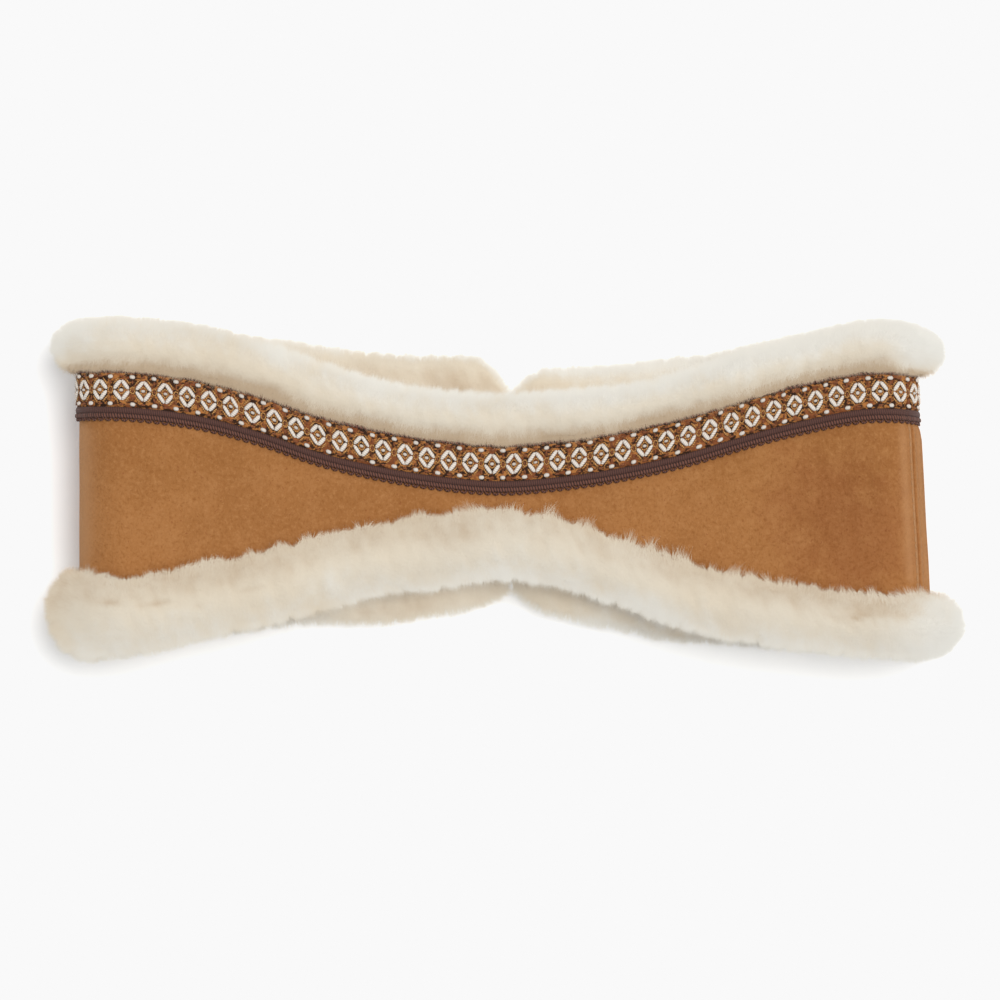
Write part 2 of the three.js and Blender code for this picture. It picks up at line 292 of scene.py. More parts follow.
def tufts(along, across, size, seed):
    """Tufts on a plane: every cell of a square lattice holds one tuft's middle, off its own
    middle by a random part. Gives each point's distance to the nearest middle, as a share
    of the size, and the way to it along and across, in millimetres."""
    u, v = along / size, across / size
    cell_u, cell_v = np.floor(u).astype(np.int64), np.floor(v).astype(np.int64)
    best = np.full(np.shape(u), np.inf)
    to_u, to_v = np.zeros_like(best), np.zeros_like(best)
    for step_u, step_v in product((-1, 0, 1), repeat=2):
        near_u, near_v = cell_u + step_u, cell_v + step_v
        way_u = near_u + 0.1 + 0.8 * scatter(near_u, near_v, seed=seed) - u
        way_v = near_v + 0.1 + 0.8 * scatter(near_u, near_v, seed=seed + 1) - v
        distance = np.hypot(way_u, way_v)
        closer = distance < best
        best = np.where(closer, distance, best)
        to_u, to_v = np.where(closer, way_u, to_u), np.where(closer, way_v, to_v)
    return best, to_u * size, to_v * size


def smoothstep(low, high, at):
    """0 below low, 1 above high, and 3t^2 - 2t^3 between."""
    part = np.clip((at - low) / (high - low), 0, 1)
    return part * part * (3 - 2 * part)


def bell(away, width):
    """1 where it is no distance away, falling as e to minus the square of the distance's
    share of the width."""
    return np.exp(-((away / width) ** 2))


def unit(vectors):
    """The vectors at length 1."""
    return vectors / np.maximum(np.linalg.norm(vectors, axis=-1, keepdims=True), 1e-12)


# ---- The loop -------------------------------------------------------------------------

def outline(girth):
    """The outline's columns at each girth: cubic pieces through the table's rows, whose
    slope at a row is that of the line between its two neighbours."""
    rows, values = OUTLINE[:, 0], OUTLINE[:, 1:]
    slopes = np.gradient(values, rows, axis=0)
    slopes[1:-1] = (values[2:] - values[:-2]) / (rows[2:] - rows[:-2])[:, None]
    piece = np.clip(np.searchsorted(rows, girth, side="right") - 1, 0, len(rows) - 2)
    width = (rows[piece + 1] - rows[piece])[..., None]
    t = (girth - rows[piece])[..., None] / width
    cubic = ((2 * t**3 - 3 * t**2 + 1) * values[piece] + (3 * t**2 - 2 * t**3) * values[piece + 1]
             + (t**3 - 2 * t**2 + t) * width * slopes[piece] + (t**3 - t**2) * width * slopes[piece + 1])
    return {name: cubic[..., place] for place, name in enumerate(OUTLINE_COLUMNS[1:])}


def fold_share(girth):
    """1 in the middle of a fold, falling as cosine squared to 0 where it ends."""
    from_middle = np.abs(np.abs(girth) - FOLD_MIDDLE)
    return np.cos(np.pi * np.minimum(from_middle / FOLD_LENGTH, 0.5)) ** 2


def loop_point(girth):
    """X and Z of the suede's outer face at each girth, and the way out of it in X and Z: a
    level line with a cosine-squared dip in front, half circles at the folds and a level
    line behind."""
    side, along = np.where(girth < 0, -1.0, 1.0), np.abs(girth)
    angle = np.clip((along - STRAIGHT_HALF) / FOLD_RADIUS, 0, np.pi)
    in_front, behind = np.minimum(along, STRAIGHT_HALF), HALF_GIRTH - np.maximum(along, FOLD_END)
    straight = np.where(along < FOLD_MIDDLE, in_front, behind)
    x = side * (straight + FOLD_RADIUS * np.sin(angle))
    dip = FRONT_SAG * np.cos(np.pi * np.minimum(along / STRAIGHT_HALF, 1) / 2) ** 2
    z = BACK_HEIGHT + FOLD_RADIUS * (1 + np.cos(angle)) - dip
    return x, z, side * np.sin(angle), np.cos(angle)


def on_band(girth, height, stand):
    """Points in millimetres at these girths, heights and stands: out of the loop by the
    stand, and leaning outward at the right fold by a share of the height."""
    girth, height, stand = np.broadcast_arrays(girth, height, stand)
    x, z, out_x, out_z = loop_point(girth)
    lean = RIGHT_FOLD_LEAN * smoothstep(LEAN_START, STRAIGHT_HALF, x)
    points = np.stack([x + out_x * stand - lean * height, height, z + out_z * stand], -1)
    return points + ORIGIN


def find_origin():
    """How far the solid model is moved from the loop's own frame, from its front panel."""
    low, _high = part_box("front_panel")
    girths = np.linspace(LEFT_SEAM, RIGHT_SEAM, 400)
    lowest = outline(girths)["wool_low"].min() - WOOL_LAP
    return np.array([low.x / MM + FOLD_TO_FOLD / 2, low.y / MM - lowest, 0.0])


ORIGIN = find_origin()


def suede_lift(girth, height):
    """How far the suede's outer face bulges out of its even form: slow waves, softer
    wrinkles where it turns, and at the right fold a swelling below the trim that sinks in
    under it."""
    place = np.stack(np.broadcast_arrays(girth, height, 0.0 * girth), -1)
    turned = fold_share(place[..., 0])
    wrinkles = 0.25 * turned * noise(place * (1.0, 0.35, 1.0), 9.0, 13)
    from_trim = place[..., 1] - outline(place[..., 0])["wool_top"] + TRIM_HEIGHT
    swelling = np.where(place[..., 0] > 0, turned, 0.0) * (0.7 - 1.4 * smoothstep(-3.0, 1.0, from_trim))
    return layered(place, SUEDE_WAVES) + wrinkles + swelling


# ---- Meshes ---------------------------------------------------------------------------

def quads_between(rows, columns):
    """The quads of a grid of rows by columns whose last column is joined to its first, by
    vertex number, counted along the columns first."""
    row, column = np.meshgrid(np.arange(rows - 1), np.arange(columns), indexing="ij")
    near = row * columns + column
    beside = row * columns + (column + 1) % columns
    return np.stack([near, beside, beside + columns, near + columns], -1).reshape(-1, 4)


def make_piece(name, points, polygons, material, uv, shade=None, normals=None):
    """A mesh object at the origin, from points in millimetres and a list of index arrays,
    one for each number of corners. The map's places, shades and normals are for each
    point."""
    mesh = bpy.data.meshes.new(name)
    points = np.asarray(points, np.float64).reshape(-1, 3)
    corners = np.concatenate([p.reshape(-1) for p in polygons]).astype(np.int32)
    sizes = np.concatenate([np.full(len(p), p.shape[1], np.int32) for p in polygons])
    mesh.vertices.add(len(points))
    mesh.vertices.foreach_set("co", (points * MM).astype(np.float32).ravel())
    mesh.loops.add(len(corners))
    mesh.loops.foreach_set("vertex_index", corners)
    mesh.polygons.add(len(sizes))
    mesh.polygons.foreach_set("loop_start", np.concatenate([[0], np.cumsum(sizes)[:-1]]).astype(np.int32))
    mesh.polygons.foreach_set("use_smooth", np.ones(len(sizes), bool))
    mesh.update(calc_edges=True)
    layer = mesh.uv_layers.new(name="OFBake")
    layer.uv.foreach_set("vector", np.asarray(uv, np.float32).reshape(-1, 2)[corners].ravel())
    if shade is not None:
        field = mesh.attributes.new("shade", "FLOAT", "POINT")
        field.data.foreach_set("value", np.asarray(shade, np.float32).ravel())
    if normals is not None:
        mesh.normals_split_custom_set_from_vertices(np.asarray(normals, np.float32).reshape(-1, 3).tolist())
    mesh.materials.append(material)
    piece = bpy.data.objects.new(name, mesh)
    bpy.context.scene.collection.objects.link(piece)
    return piece


def finish_piece(piece, slot, *nodes):
    """Puts a piece on the frame: it rides on the one body and stands for its solid nodes. The
    finish's name, slot, is not used."""
    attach(piece, "root")
    if nodes:
        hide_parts(*nodes)


def tube_mesh(name, points, material, outward, shade=None, normals=None):
    """A tube from a grid of sections by corners, mapped onto the unit square a little inside
    its edges, each end closed by a fan round its middle. outward is 1 where corners run
    anticlockwise seen from the far end, and -1 elsewhere."""
    rows, columns = points.shape[:2]
    middles = points[[0, -1]].mean(axis=1)
    sides = quads_between(rows, columns)
    ring = np.arange(columns)
    after = (ring + 1) % columns
    last = (rows - 1) * columns
    first_fan = np.stack([np.full(columns, rows * columns), after, ring], -1)
    last_fan = np.stack([np.full(columns, rows * columns + 1), last + ring, last + after], -1)
    fans = np.concatenate([first_fan, last_fan])
    if outward < 0:
        sides, fans = sides[:, ::-1], fans[:, ::-1]
    every = np.concatenate([points.reshape(-1, 3), middles])
    along, across = np.linspace(0.004, 0.996, rows), np.linspace(0.01, 0.99, columns)
    uv = np.stack(np.meshgrid(along, across, indexing="ij"), -1)

    def with_middles(values):
        ends = values[[0, -1]].mean(axis=1).reshape(2, -1)
        return np.concatenate([values.reshape(rows * columns, -1), ends])

    return make_piece(
        name, every, [sides, fans], material,
        uv=with_middles(uv),
        shade=None if shade is None else with_middles(shade),
        normals=None if normals is None else with_middles(normals),
    )


# ---- Materials ------------------------------------------------------------------------

class Wire:
    """A node's output that can be worked with as a number."""

    def __init__(self, graph, socket):
        self.graph, self.socket = graph, socket

    def _math(self, operation, first, second):
        return self.graph.node("ShaderNodeMath", {"operation": operation}, {0: first, 1: second})

    def __add__(self, other):
        return self._math("ADD", self, other)

    def __sub__(self, other):
        return self._math("SUBTRACT", self, other)

    def __rsub__(self, other):
        return self._math("SUBTRACT", other, self)

    def __mul__(self, other):
        return self._math("MULTIPLY", self, other)

    __radd__ = __add__
    __rmul__ = __mul__


class Graph:
    """A new material's nodes."""

    def __init__(self, name):
        self.material = bpy.data.materials.new(name)
        self.material.use_nodes = True
        self.tree = self.material.node_tree
        self.tree.nodes.clear()

    def node(self, kind, settings, inputs, output=0):
        """Adds a node: its settings first, then the values or wires of its sockets. Gives
        the wire of one output."""
        node = self.tree.nodes.new(kind)
        for key, value in settings.items():
            setattr(node, key, value)
        for key, value in inputs.items():
            if isinstance(value, Wire):
                self.tree.links.new(value.socket, node.inputs[key])
            else:
                node.inputs[key].default_value = value
        return Wire(self, node.outputs[output])

    def blend(self, share, first, second, kind="MIX"):
        """A colour between two, or one blended onto the other."""
        pick = lambda colour: colour if isinstance(colour, Wire) else (*colour, 1.0)
        return self.node("ShaderNodeMix", {"data_type": "RGBA", "blend_type": kind, "clamp_factor": True},
                         {0: share, 6: pick(first), 7: pick(second)}, 2)

    def noise(self, vector, scale, detail, roughness=0.5):
        """Noise in 0 to 1 on a vector."""
        return self.node("ShaderNodeTexNoise", {}, {
            "Vector": vector, "Scale": scale, "Detail": detail, "Roughness": roughness,
        })

    def range(self, value, low, high, to_low=0.0, to_high=1.0):
        """A number carried smoothly from one range to another, and held at its ends."""
        return self.node("ShaderNodeMapRange", {"interpolation_type": "SMOOTHSTEP"},
                         {0: value, 1: low, 2: high, 3: to_low, 4: to_high})

    def stretch(self, vector, scale, place=(0, 0, 0)):
        """A vector moved and scaled by a Mapping node."""
        return self.node("ShaderNodeMapping", {}, {"Vector": vector, "Scale": scale, "Location": place})

    def bump(self, height, depth, strength):
        """A bumped normal: height times depth, in metres."""
        return self.node("ShaderNodeBump", {}, {"Height": height, "Distance": depth, "Strength": strength})

    def surface(self, **inputs):
        """The Principled shader and the output, with sockets by name."""
        sockets = {name.replace("_", " "): value for name, value in inputs.items()}
        shader = self.node("ShaderNodeBsdfPrincipled", {}, sockets)
        output = self.tree.nodes.new("ShaderNodeOutputMaterial")
        self.tree.links.new(shader.socket, output.inputs["Surface"])
        return self.material

    def object_place(self):
        """The place on the object, in metres."""
        return self.node("ShaderNodeTexCoord", {}, {}, "Object")

    def map_place(self):
        """The place on the piece's own map."""
        return self.node("ShaderNodeUVMap", {"uv_map": "OFBake"}, {})

    def shade(self):
        """The shade that each point carries."""
        return self.node("ShaderNodeAttribute", {"attribute_name": "shade"}, {}, "Fac")


# The suede's brushed patch: how a place is scaled and moved to be counted from its middle.
PATCH_SCALE, PATCH_MOVE = (52.0, 34.0, 6.0), (-5.85, 0.15, 0.0)
# The X in metres between which the wool turns cooler, and how far it does.
COOL_FROM, COOL_TO, COOL_SHARE = 0.114, 0.142, 0.65
# The scale at which a Wave node's diagonal bands lie one apart.
ONE_BAND = 0.6283


def suede_material(look):
    """Napped suede: a camel ground with slow and fine mottling, one brushed darker patch by the
    right fold, scattered pale and dark fibres, a painted highlight and painted shade by the
    shade that each point carries, and a fine nap in relief."""
    graph = Graph("camel_suede")
    place = graph.object_place()
    slow = graph.noise(place, 30.0, 3.0, 0.55)
    cloud = graph.noise(place, 150.0, 4.0, 0.65)
    warped = graph.node("ShaderNodeVectorMath", {"operation": "MULTIPLY_ADD"},
                        {0: graph.node("ShaderNodeTexNoise", {}, {"Vector": place, "Scale": 260.0}, "Color"),
                         1: (0.0035, 0.0035, 0.0035), 2: place}, "Vector")
    nap = graph.noise(graph.stretch(warped, (1.0, 0.6, 1.0)), 1250.0, 3.0, 0.7)
    grain = graph.noise(place, 3200.0, 2.0, 0.6)
    mottle = graph.noise(place, 760.0, 3.0, 0.65)
    colour = graph.blend(graph.range(slow, 0.34, 0.66, 0.0, 0.5), look.suede_colour, look.suede_deep)
    colour = graph.blend(graph.range(cloud, 0.4, 0.75, 0.0, 0.5), colour, look.suede_light)
    colour = graph.blend(graph.range(mottle, 0.52, 0.72, 0.0, 0.75), colour, look.suede_light)
    colour = graph.blend(graph.range(mottle, 0.48, 0.3, 0.0, 0.6), colour, look.suede_deep)
    colour = graph.blend(graph.range(nap, 0.52, 0.78, 0.0, 0.75), colour, look.suede_light)
    colour = graph.blend(graph.range(nap, 0.48, 0.24, 0.0, 0.7), colour, look.suede_deep)
    fleck = graph.range(graph.noise(place, 900.0, 1.0), 0.7, 0.76, 0.0, 0.6)
    colour = graph.blend(fleck, colour, look.suede_brushed)
    patch = graph.node("ShaderNodeVectorMath", {"operation": "LENGTH"},
                       {0: graph.stretch(place, PATCH_SCALE, PATCH_MOVE)}, "Value")
    patch = patch + 2.8 * (slow - 0.5) + 1.6 * (cloud - 0.5)
    colour = graph.blend(graph.range(patch, 0.2, 1.5, 0.85, 0.0), colour, look.suede_patch, "MULTIPLY")
    tone = graph.shade()
    # Painted highlight where the shade is over a half, on the seam ridges and the left fold, and painted
    # shade where it is under, in the seams and by the trim and the lower wool, and darker on the fold behind
    # the right seam.
    colour = graph.blend(graph.range(tone, 0.5, 1.0, 0.0, 0.8), colour, look.suede_highlight)
    colour = graph.blend(graph.range(tone, 0.5, 0.0, 0.0, 0.9), colour, look.suede_shadow, "MULTIPLY")
    height = nap + 0.5 * cloud + 0.25 * grain
    return graph.surface(
        Base_Color=colour, Roughness=graph.range(nap, 0.2, 0.8, 0.98, 0.86),
        Normal=graph.bump(height, 0.0005, 0.6), Specular_IOR_Level=0.1,
        Sheen_Weight=0.12, Sheen_Roughness=0.5, Sheen_Tint=(1.0, 0.72, 0.45, 1.0),
    )


def wool_material(look, name, relief=True):
    """Wool: a warm painted shade deep in the pile and a paler colour at its tips, by the shade
    that each point carries, a painted highlight on the rims, clouded slowly over the fleece
    and cooler at the right end."""
    graph = Graph(name)
    place = graph.object_place()
    shade = graph.shade() + 0.3 * (graph.noise(place, 90.0, 2.0) - 0.5)
    tip = graph.blend(graph.range(graph.noise(place, 26.0, 2.0), 0.35, 0.65), look.wool_tip, look.wool_warm)
    # Painted shade deep in the pile, between the tufts and by the trim, where the shade is low.
    colour = graph.blend(graph.range(shade, 0.0, 0.9), look.wool_depth_shade, tip)
    # Painted highlight on the rims, where the shade runs past the tips'.
    colour = graph.blend(graph.range(shade, 0.85, 1.5), colour, look.wool_highlight)
    to_right = graph.node("ShaderNodeSeparateXYZ", {}, {"Vector": place}, "X")
    cool = graph.range(to_right, COOL_FROM, COOL_TO, 0.0, COOL_SHARE) * graph.range(shade, 0.4, 0.9)
    colour = graph.blend(cool, colour, look.wool_cool)
    inputs = {"Base_Color": colour, "Roughness": 0.95, "Specular_IOR_Level": 0.1,
              "Sheen_Weight": 0.35, "Sheen_Roughness": 0.6, "Sheen_Tint": (1.0, 0.93, 0.82, 1.0)}
    if relief:
        inputs["Normal"] = graph.bump(graph.noise(place, 900.0, 3.0, 0.7), 0.0006, 0.5)
    return graph.surface(**inputs)


def thread_material(name, colour, deep, turns):
    """Spun thread: plies that wind round it, so many turns along the map and one round it,
    and painted shade between them."""
    graph = Graph(name)
    wound = graph.stretch(graph.map_place(), (*turns, 1.0))
    plies = graph.node("ShaderNodeTexWave", {"wave_type": "BANDS", "bands_direction": "DIAGONAL"},
                       {"Vector": wound, "Scale": ONE_BAND}, "Fac")
    fuzz = graph.noise(graph.object_place(), 2600.0, 2.0, 0.6)
    share = graph.range(plies * 0.55 + fuzz * 0.6, 0.3, 0.8)
    return graph.surface(
        Base_Color=graph.blend(share, deep, colour), Roughness=0.75, Specular_IOR_Level=0.35,
        Normal=graph.bump(plies * 0.6 + fuzz * 0.8, 0.00025, 0.7), Sheen_Weight=0.05,
    )


def ground_material(look):
    """The ribbon's woven ground: golden and rust yarns floating over dark brown ones."""
    graph = Graph("ribbon_ground")
    place = graph.object_place()
    yarn = graph.noise(graph.stretch(place, (1.0, 1.6, 1.0)), 620.0, 2.0, 0.6)
    speck = graph.noise(place, 340.0, 2.0)
    colour = graph.blend(graph.range(yarn, 0.45, 0.6), look.ground_dark, look.ground_gold)
    colour = graph.blend(graph.range(speck, 0.5, 0.62, 0.0, 0.8), colour, look.ground_rust)
    return graph.surface(
        Base_Color=colour, Roughness=0.85, Specular_IOR_Level=0.2, Normal=graph.bump(yarn, 0.0003, 0.6),
    )


# ---- Suede ----------------------------------------------------------------------------

def seam_ridge(girth):
    """The rise of the suede beside each seam: it sinks into the seam and stands up in a
    rounded ridge on both sides."""
    rise = np.zeros(np.shape(girth))
    for seam in SEAMS:
        distance = np.abs(girth - seam)
        rise += RIDGE_HEIGHT * bell(distance - RIDGE_OFF, RIDGE_WIDTH)
        rise -= SEAM_DEPTH * bell(distance, RIDGE_WIDTH)
    return rise


def panel_edges(girth):
    """Heights of the suede's lower and upper edge, which lie under the wool."""
    edges = outline(girth)
    return edges["wool_low"] - WOOL_LAP, edges["wool_top"] + WOOL_LAP


def slab(name, start, end, inner, outer, tone, material, step, columns):
    """A closed slab of the wall between two girths: an outer face from low to high and an
    inner one back, each of its own number of columns, with sections a step apart. inner and
    outer give the stand at a girth and height, and tone gives the shade. Gives the piece,
    its girths and its width at each."""
    girth = even_girths(step, start, end)[:, None]
    low, high = panel_edges(girth)
    outer_height = low + (high - low) * np.linspace(0, 1, columns[0])[None, :]
    inner_height = low + (high - low) * np.linspace(1, 0, columns[1])[None, :]
    height = np.concatenate([outer_height, inner_height], axis=1)
    stand = np.concatenate([outer(girth, outer_height), inner(girth, inner_height)], axis=1)
    points = on_band(girth, height, stand)
    shade = tone(girth + 0 * height, height)
    piece = tube_mesh(name, points, material, -1, shade=shade)
    return piece, girth[:, 0], (high - low)[:, 0]


def suede_tone(girth, height):
    """The suede's shade, 0.5 where it is plain: a painted highlight where the left fold turns
    from the light, on the ridges by a seam and over the hem beside them; painted shade in the
    seam, under the trim and against the lower wool; and darker on the fold behind the right
    seam."""
    into_left_fold = -(girth + STRAIGHT_HALF) / FOLD_LENGTH
    # Painted highlight on the left fold, which turns from the light.
    lightened = smoothstep(0.12, 0.42, into_left_fold) * smoothstep(0.85, 0.5, into_left_fold)
    from_wool = np.maximum(height - lip_height(ROLLS["lower"], girth), 0)
    from_trim = np.maximum(outline(girth)["wool_top"] - TRIM_HEIGHT - height, 0)
    tone = 0.5 + 0.5 * lightened - 0.12 * bell(girth - RIGHT_SEAM - 7.5, 4.5)
    tone -= 0.3 * bell(from_wool, 3.0) + 0.22 * bell(from_trim, 1.2)
    for seam, (off, width, paler) in product(SEAMS, SEAM_TONES):
        tone += paler * bell(np.abs(girth - seam) - off, width)
    return np.clip(tone, 0, 1)


def make_panels(look):
    """The suede: three panels that meet at the side seams and the centre back."""
    material = suede_material(look)
    outer = lambda girth, height: suede_lift(girth, height) + seam_ridge(girth)
    inner = lambda girth, height: suede_lift(girth, height) - SUEDE_THICKNESS
    for panel, (start, end) in PANELS.items():
        piece, girth, width = slab(
            f"suede_{panel}_panel", start, end, inner, outer, suede_tone, material, step=0.8, columns=(24, 4),
        )
        finish_piece(piece, "suede", f"{panel}_panel")
        area = float(((width[1:] + width[:-1]) / 2 * np.diff(girth)).sum()) * MM * MM
        flat = ((end - start) * MM, float(width.max()) * MM)


# ---- Wool -----------------------------------------------------------------------------

def ring_weights(corners, samples, typical):
    """Weights that carry a closed outline's corners to points spaced evenly along the
    Catmull-Rom curve through them, and each point's place round the corners."""
    def weights(at):
        whole = np.floor(at).astype(int)
        t = at - whole
        basis = np.stack([
            -t**3 + 2 * t**2 - t, 3 * t**3 - 5 * t**2 + 2, -3 * t**3 + 4 * t**2 + t, t**3 - t**2,
        ], -1) / 2
        table = np.zeros((len(at), corners))
        for place in range(4):
            np.add.at(table, (np.arange(len(at)), (whole - 1 + place) % corners), basis[:, place])
        return table

    dense = np.linspace(0, corners, 40 * corners + 1)
    line = weights(dense) @ typical
    length = np.concatenate([[0], np.cumsum(np.hypot(*np.diff(line, axis=0).T))])
    at = np.interp(np.arange(samples) / samples * length[-1], length, dense)
    return weights(at), at, np.arange(samples) / samples * length[-1]


def roll_corners(roll, girth):
    """Heights and stands of a roll's section corners at each girth, ending with the lip."""
    edges = outline(girth)
    way = roll["way"]
    edge = edges[roll["edge"]] + way * WOOL_LAP
    from_end = np.minimum(girth - LEFT_END, RIGHT_END - girth)
    fullness = np.sin(np.pi / 2 * np.clip(from_end / ROLL_END_LENGTH, 0, 1))
    height = (np.abs(edges[roll["tip"]] - edge) - GAP) * (roll["end"] + (1 - roll["end"]) * fullness)
    stand = roll["flat"] + (roll["fold"] - roll["flat"]) * fold_share(girth)
    stand = stand * (ROLL_END_STAND + (1 - ROLL_END_STAND) * fullness)
    seat = edge + way * GAP
    reach, level = ROLL_SECTION.T
    heights = seat[:, None] + way * reach * height[:, None]
    stands = np.where(level > 0, level * stand[:, None], level * WALL_THICKNESS)
    lip = lip_height(roll, girth)
    flat = np.full_like(lip, roll["lip"])
    heights = np.column_stack([heights, lip, lip, seat])
    stands = np.column_stack([stands, flat + (stand - flat) * LIP_LEVEL, flat, flat])
    return heights, stands


def lip_height(roll, girth):
    """Height of a roll's lip on the suede or the trim: it wanders about the wool's edge."""
    wander = roll["wander"] * layered(girth_line(girth), LIP_WAVES, roll["way"])
    return outline(girth)[roll["edge"]] + roll["way"] * (roll["back_off"] - np.maximum(wander, -LIP_BACK))


def creases(girth, height):
    """How deep the wool is creased at each girth and height: each crease swings about its
    height, fades at its ends and is dimpled along its way."""
    depth = 0.0
    for start, end, level, full in CREASES:
        bend = level + 0.7 * np.sin(girth / 2.6)
        inside = smoothstep(start, start + 4, girth) * (1 - smoothstep(end - 4, end, girth))
        dimples = np.clip(0.6 + 0.9 * noise(girth_line(girth), 3.1, 45), 0, 1.2)
        depth = depth + full * inside * dimples * bell(height - bend, 0.7)
    return depth


def roll_grid(roll, roll_tones, wool, step, samples):
    """A roll's surface on a grid of girths by places round the section: the corners' curve,
    drawn in by part of the pile, then raised by swells, tufts, finer tufts and locks, and
    lowered by creases. Its shade follows the same, with painted shade between tufts and in
    creases and painted light on locks, and the roll's own tables of painted shade and light."""
    girth = even_girths(step)
    heights, stands = roll_corners(roll, girth)
    corners = heights.shape[1]
    middle = np.abs(girth).argmin()
    weights, at, around = ring_weights(corners, samples, np.column_stack([heights[middle], stands[middle]]))
    height = heights @ weights.T
    smooth = on_band(girth[:, None], height, stands @ weights.T)
    normals = grid_normals(smooth, roll["way"])
    along, across = np.meshgrid(girth, around, indexing="ij")
    size = wool.tuft_size / MM
    far, to_along, to_across = tufts(along, across + layered(smooth, TUFT_BENDS), size, 22)
    fine, _to_along, _to_across = tufts(along, across, FINE_TUFT * size, 25)
    combed = smooth * (1.0, 0.3, 0.3) + 0.3 * smooth[..., 1:2] * (1.0, 0.0, 0.0)
    locks = layered(combed, LOCKS)
    crease = creases(along, height) * smoothstep(4.0, 5.0, at)

    rise = layered(smooth, FLEECE_SWELLS) + wool.tuft_depth / MM * (0.45 - far**2) + 0.1 * (0.4 - fine)
    rise += roll["locks"] * locks * (0.5 + bell(at - 5.0, 2.0))
    sideways = 1 - np.abs(normals[..., 2])
    exposed = smoothstep(0.2, 1.0, at) * (1 - smoothstep(corners - 2.2, corners - 1.4, at))
    lift = (rise - crease - wool.pile_inset / MM * (1 + wool.halo * sideways)) * exposed
    points = smooth + normals * lift[..., None]
    points[..., 2] = np.maximum(points[..., 2], 0.0)

    x = smooth[..., 0]
    # Painted shade and light: the section's table, the rims' painted highlight, which grows to the right, and
    # the roll's own painted light and shade by X.
    tone = np.interp(at, *roll_tones.T)
    past = np.maximum(tone - HIGHLIGHT_START, 0)
    tone = tone - past + past * np.interp(x, *RIM_HIGHLIGHT.T) + np.interp(x, *roll["painted_light_by_x"].T)
    # Painted shade between tufts and in creases, and painted light on locks.
    tone -= TUFT_SHADE * (far - NEUTRAL_AWAY) + FINE_SHADE * (fine - NEUTRAL_AWAY)
    tone += LOCK_SHADE * locks - CREASE_SHADE * crease + layered(smooth, CLOUDS)
    # Painted light on the back's right half, and on the back where the front roll's shadow falls.
    behind = (np.abs(girth) > FOLD_END)[:, None]
    from_front = smooth[..., 1] - outline(np.clip(x, -STRAIGHT_HALF, STRAIGHT_HALF))[roll["tip"]]
    paler = roll["behind"] * smoothstep(0.0, 30.0, x) + roll["painted_light_under_front"] * bell(from_front, 2.5)
    return {
        "girth": girth, "points": points, "normals": normals, "exposed": exposed,
        "shade": tone + behind * paler,
        "pull": np.stack([to_along, roll["way"] * to_across], -1),
    }


def wrapped(normals, share, lowest=-0.8, full=0.0):
    """Normals turned up by a share where the wool faces sideways, from the lowest upright
    part to the full one: light that falls on it goes some way round inside it."""
    level = normals[..., 2:]
    up = share * smoothstep(lowest, full, level) * (1 - np.maximum(level, 0))
    return unit(normals + up * (0.0, 0.0, 1.0))


def grid_normals(points, way):
    """Outward normals of a grid of sections: the way round the section crossed with the way
    along the girth."""
    along = np.gradient(points, axis=0)
    round_section = np.roll(points, -1, axis=1) - np.roll(points, 1, axis=1)
    return unit(way * np.cross(round_section, along))


def pick_roots(grid, count, chance, random):
    """Random places on a grid, as fractional row and column: a cell's chance is its area
    times its own chance."""
    points = grid["points"]
    along = points[1:] - points[:-1]
    across = np.roll(points, -1, axis=1)[:-1] - points[:-1]
    area = np.linalg.norm(np.cross(along, across), axis=-1) * chance[:-1]
    total = np.cumsum(area.ravel())
    cell = np.searchsorted(total, random.random(count) * total[-1])
    row, column = np.unravel_index(np.minimum(cell, area.size - 1), area.shape)
    return row + random.random(count), column + random.random(count)


def on_grid(values, row, column):
    """A grid's values at fractional rows and columns, by blending four corners."""
    r, c = np.floor(row).astype(int), np.floor(column).astype(int)
    wide = values.shape[1]
    u, v = (row - r), (column - c)
    if values.ndim == 3:
        u, v = u[:, None], v[:, None]
    near = values[r, c % wide] * (1 - v) + values[r, (c + 1) % wide] * v
    far = values[np.minimum(r + 1, len(values) - 1), c % wide] * (1 - v)
    far = far + values[np.minimum(r + 1, len(values) - 1), (c + 1) % wide] * v
    return near * (1 - u) + far * u


# A blade's own corner of the map, and how much paler its root and its tip are than the
# wool that it stands on: painted shade at a pile fibre's root and painted light at each tip.
BLADE_MAP = np.array([(0.0, 0.0), (0.0008, 0.0), (0.0004, 0.004)])
PILE_SHADES = np.array([-0.08, -0.08, 0.15])
FRINGE_SHADES = np.array([0.0, 0.0, 0.1])
# How far a fibre of the pile leans with its neighbours and by itself, how deep its root
# lies, how many common strays the longest is as long as, and how far it clears the floor.
PILE_DRIFT, PILE_LOOSENESS = 0.55, 0.32
ROOT_DEPTH = 0.4
LONGEST_STRAY = 4
FLOOR_CLEARANCE = 0.02
# Tufts of a fringe, by their size and share; how far in from the lip its highest fibre
# starts; and the place round the section, counted in corners, that its lowest fibre has its
# shade from, with how far before that its highest one's is, in the painted shade by the lip.
FRINGE_TUFTS = ((6.1, 0.7), (1.7, 0.5))
FRINGE_INSET = 3.4
FRINGE_PLACE, FRINGE_BEFORE = 12.3, 0.8


def turn_out(blades, out):
    """Swaps two corners of each blade that faces away from its way out, and gives the way
    that each then faces."""
    facing = np.cross(blades[:, 1] - blades[:, 0], blades[:, 2] - blades[:, 0])
    turned = np.einsum("ij,ij->i", facing, out) < 0
    blades[turned] = blades[turned][:, [1, 0, 2]]
    return unit(np.where(turned[:, None], -facing, facing))


def make_blades(name, blades, spots, shade, normals, material):
    """Fibres as three-cornered blades, each with one spot on the map and one normal. They
    are so fine that they let the light through, so they take no part in the shadows."""
    faces = np.arange(3 * len(blades)).reshape(-1, 3)
    uv = spots[:, None, :] + BLADE_MAP
    normals = np.repeat(normals[:, None, :], 3, axis=1)
    piece = make_piece(name, blades, [faces], material, uv=uv, shade=shade, normals=normals)
    piece.visible_shadow = False
    piece.visible_diffuse = False
    finish_piece(piece, "wool")


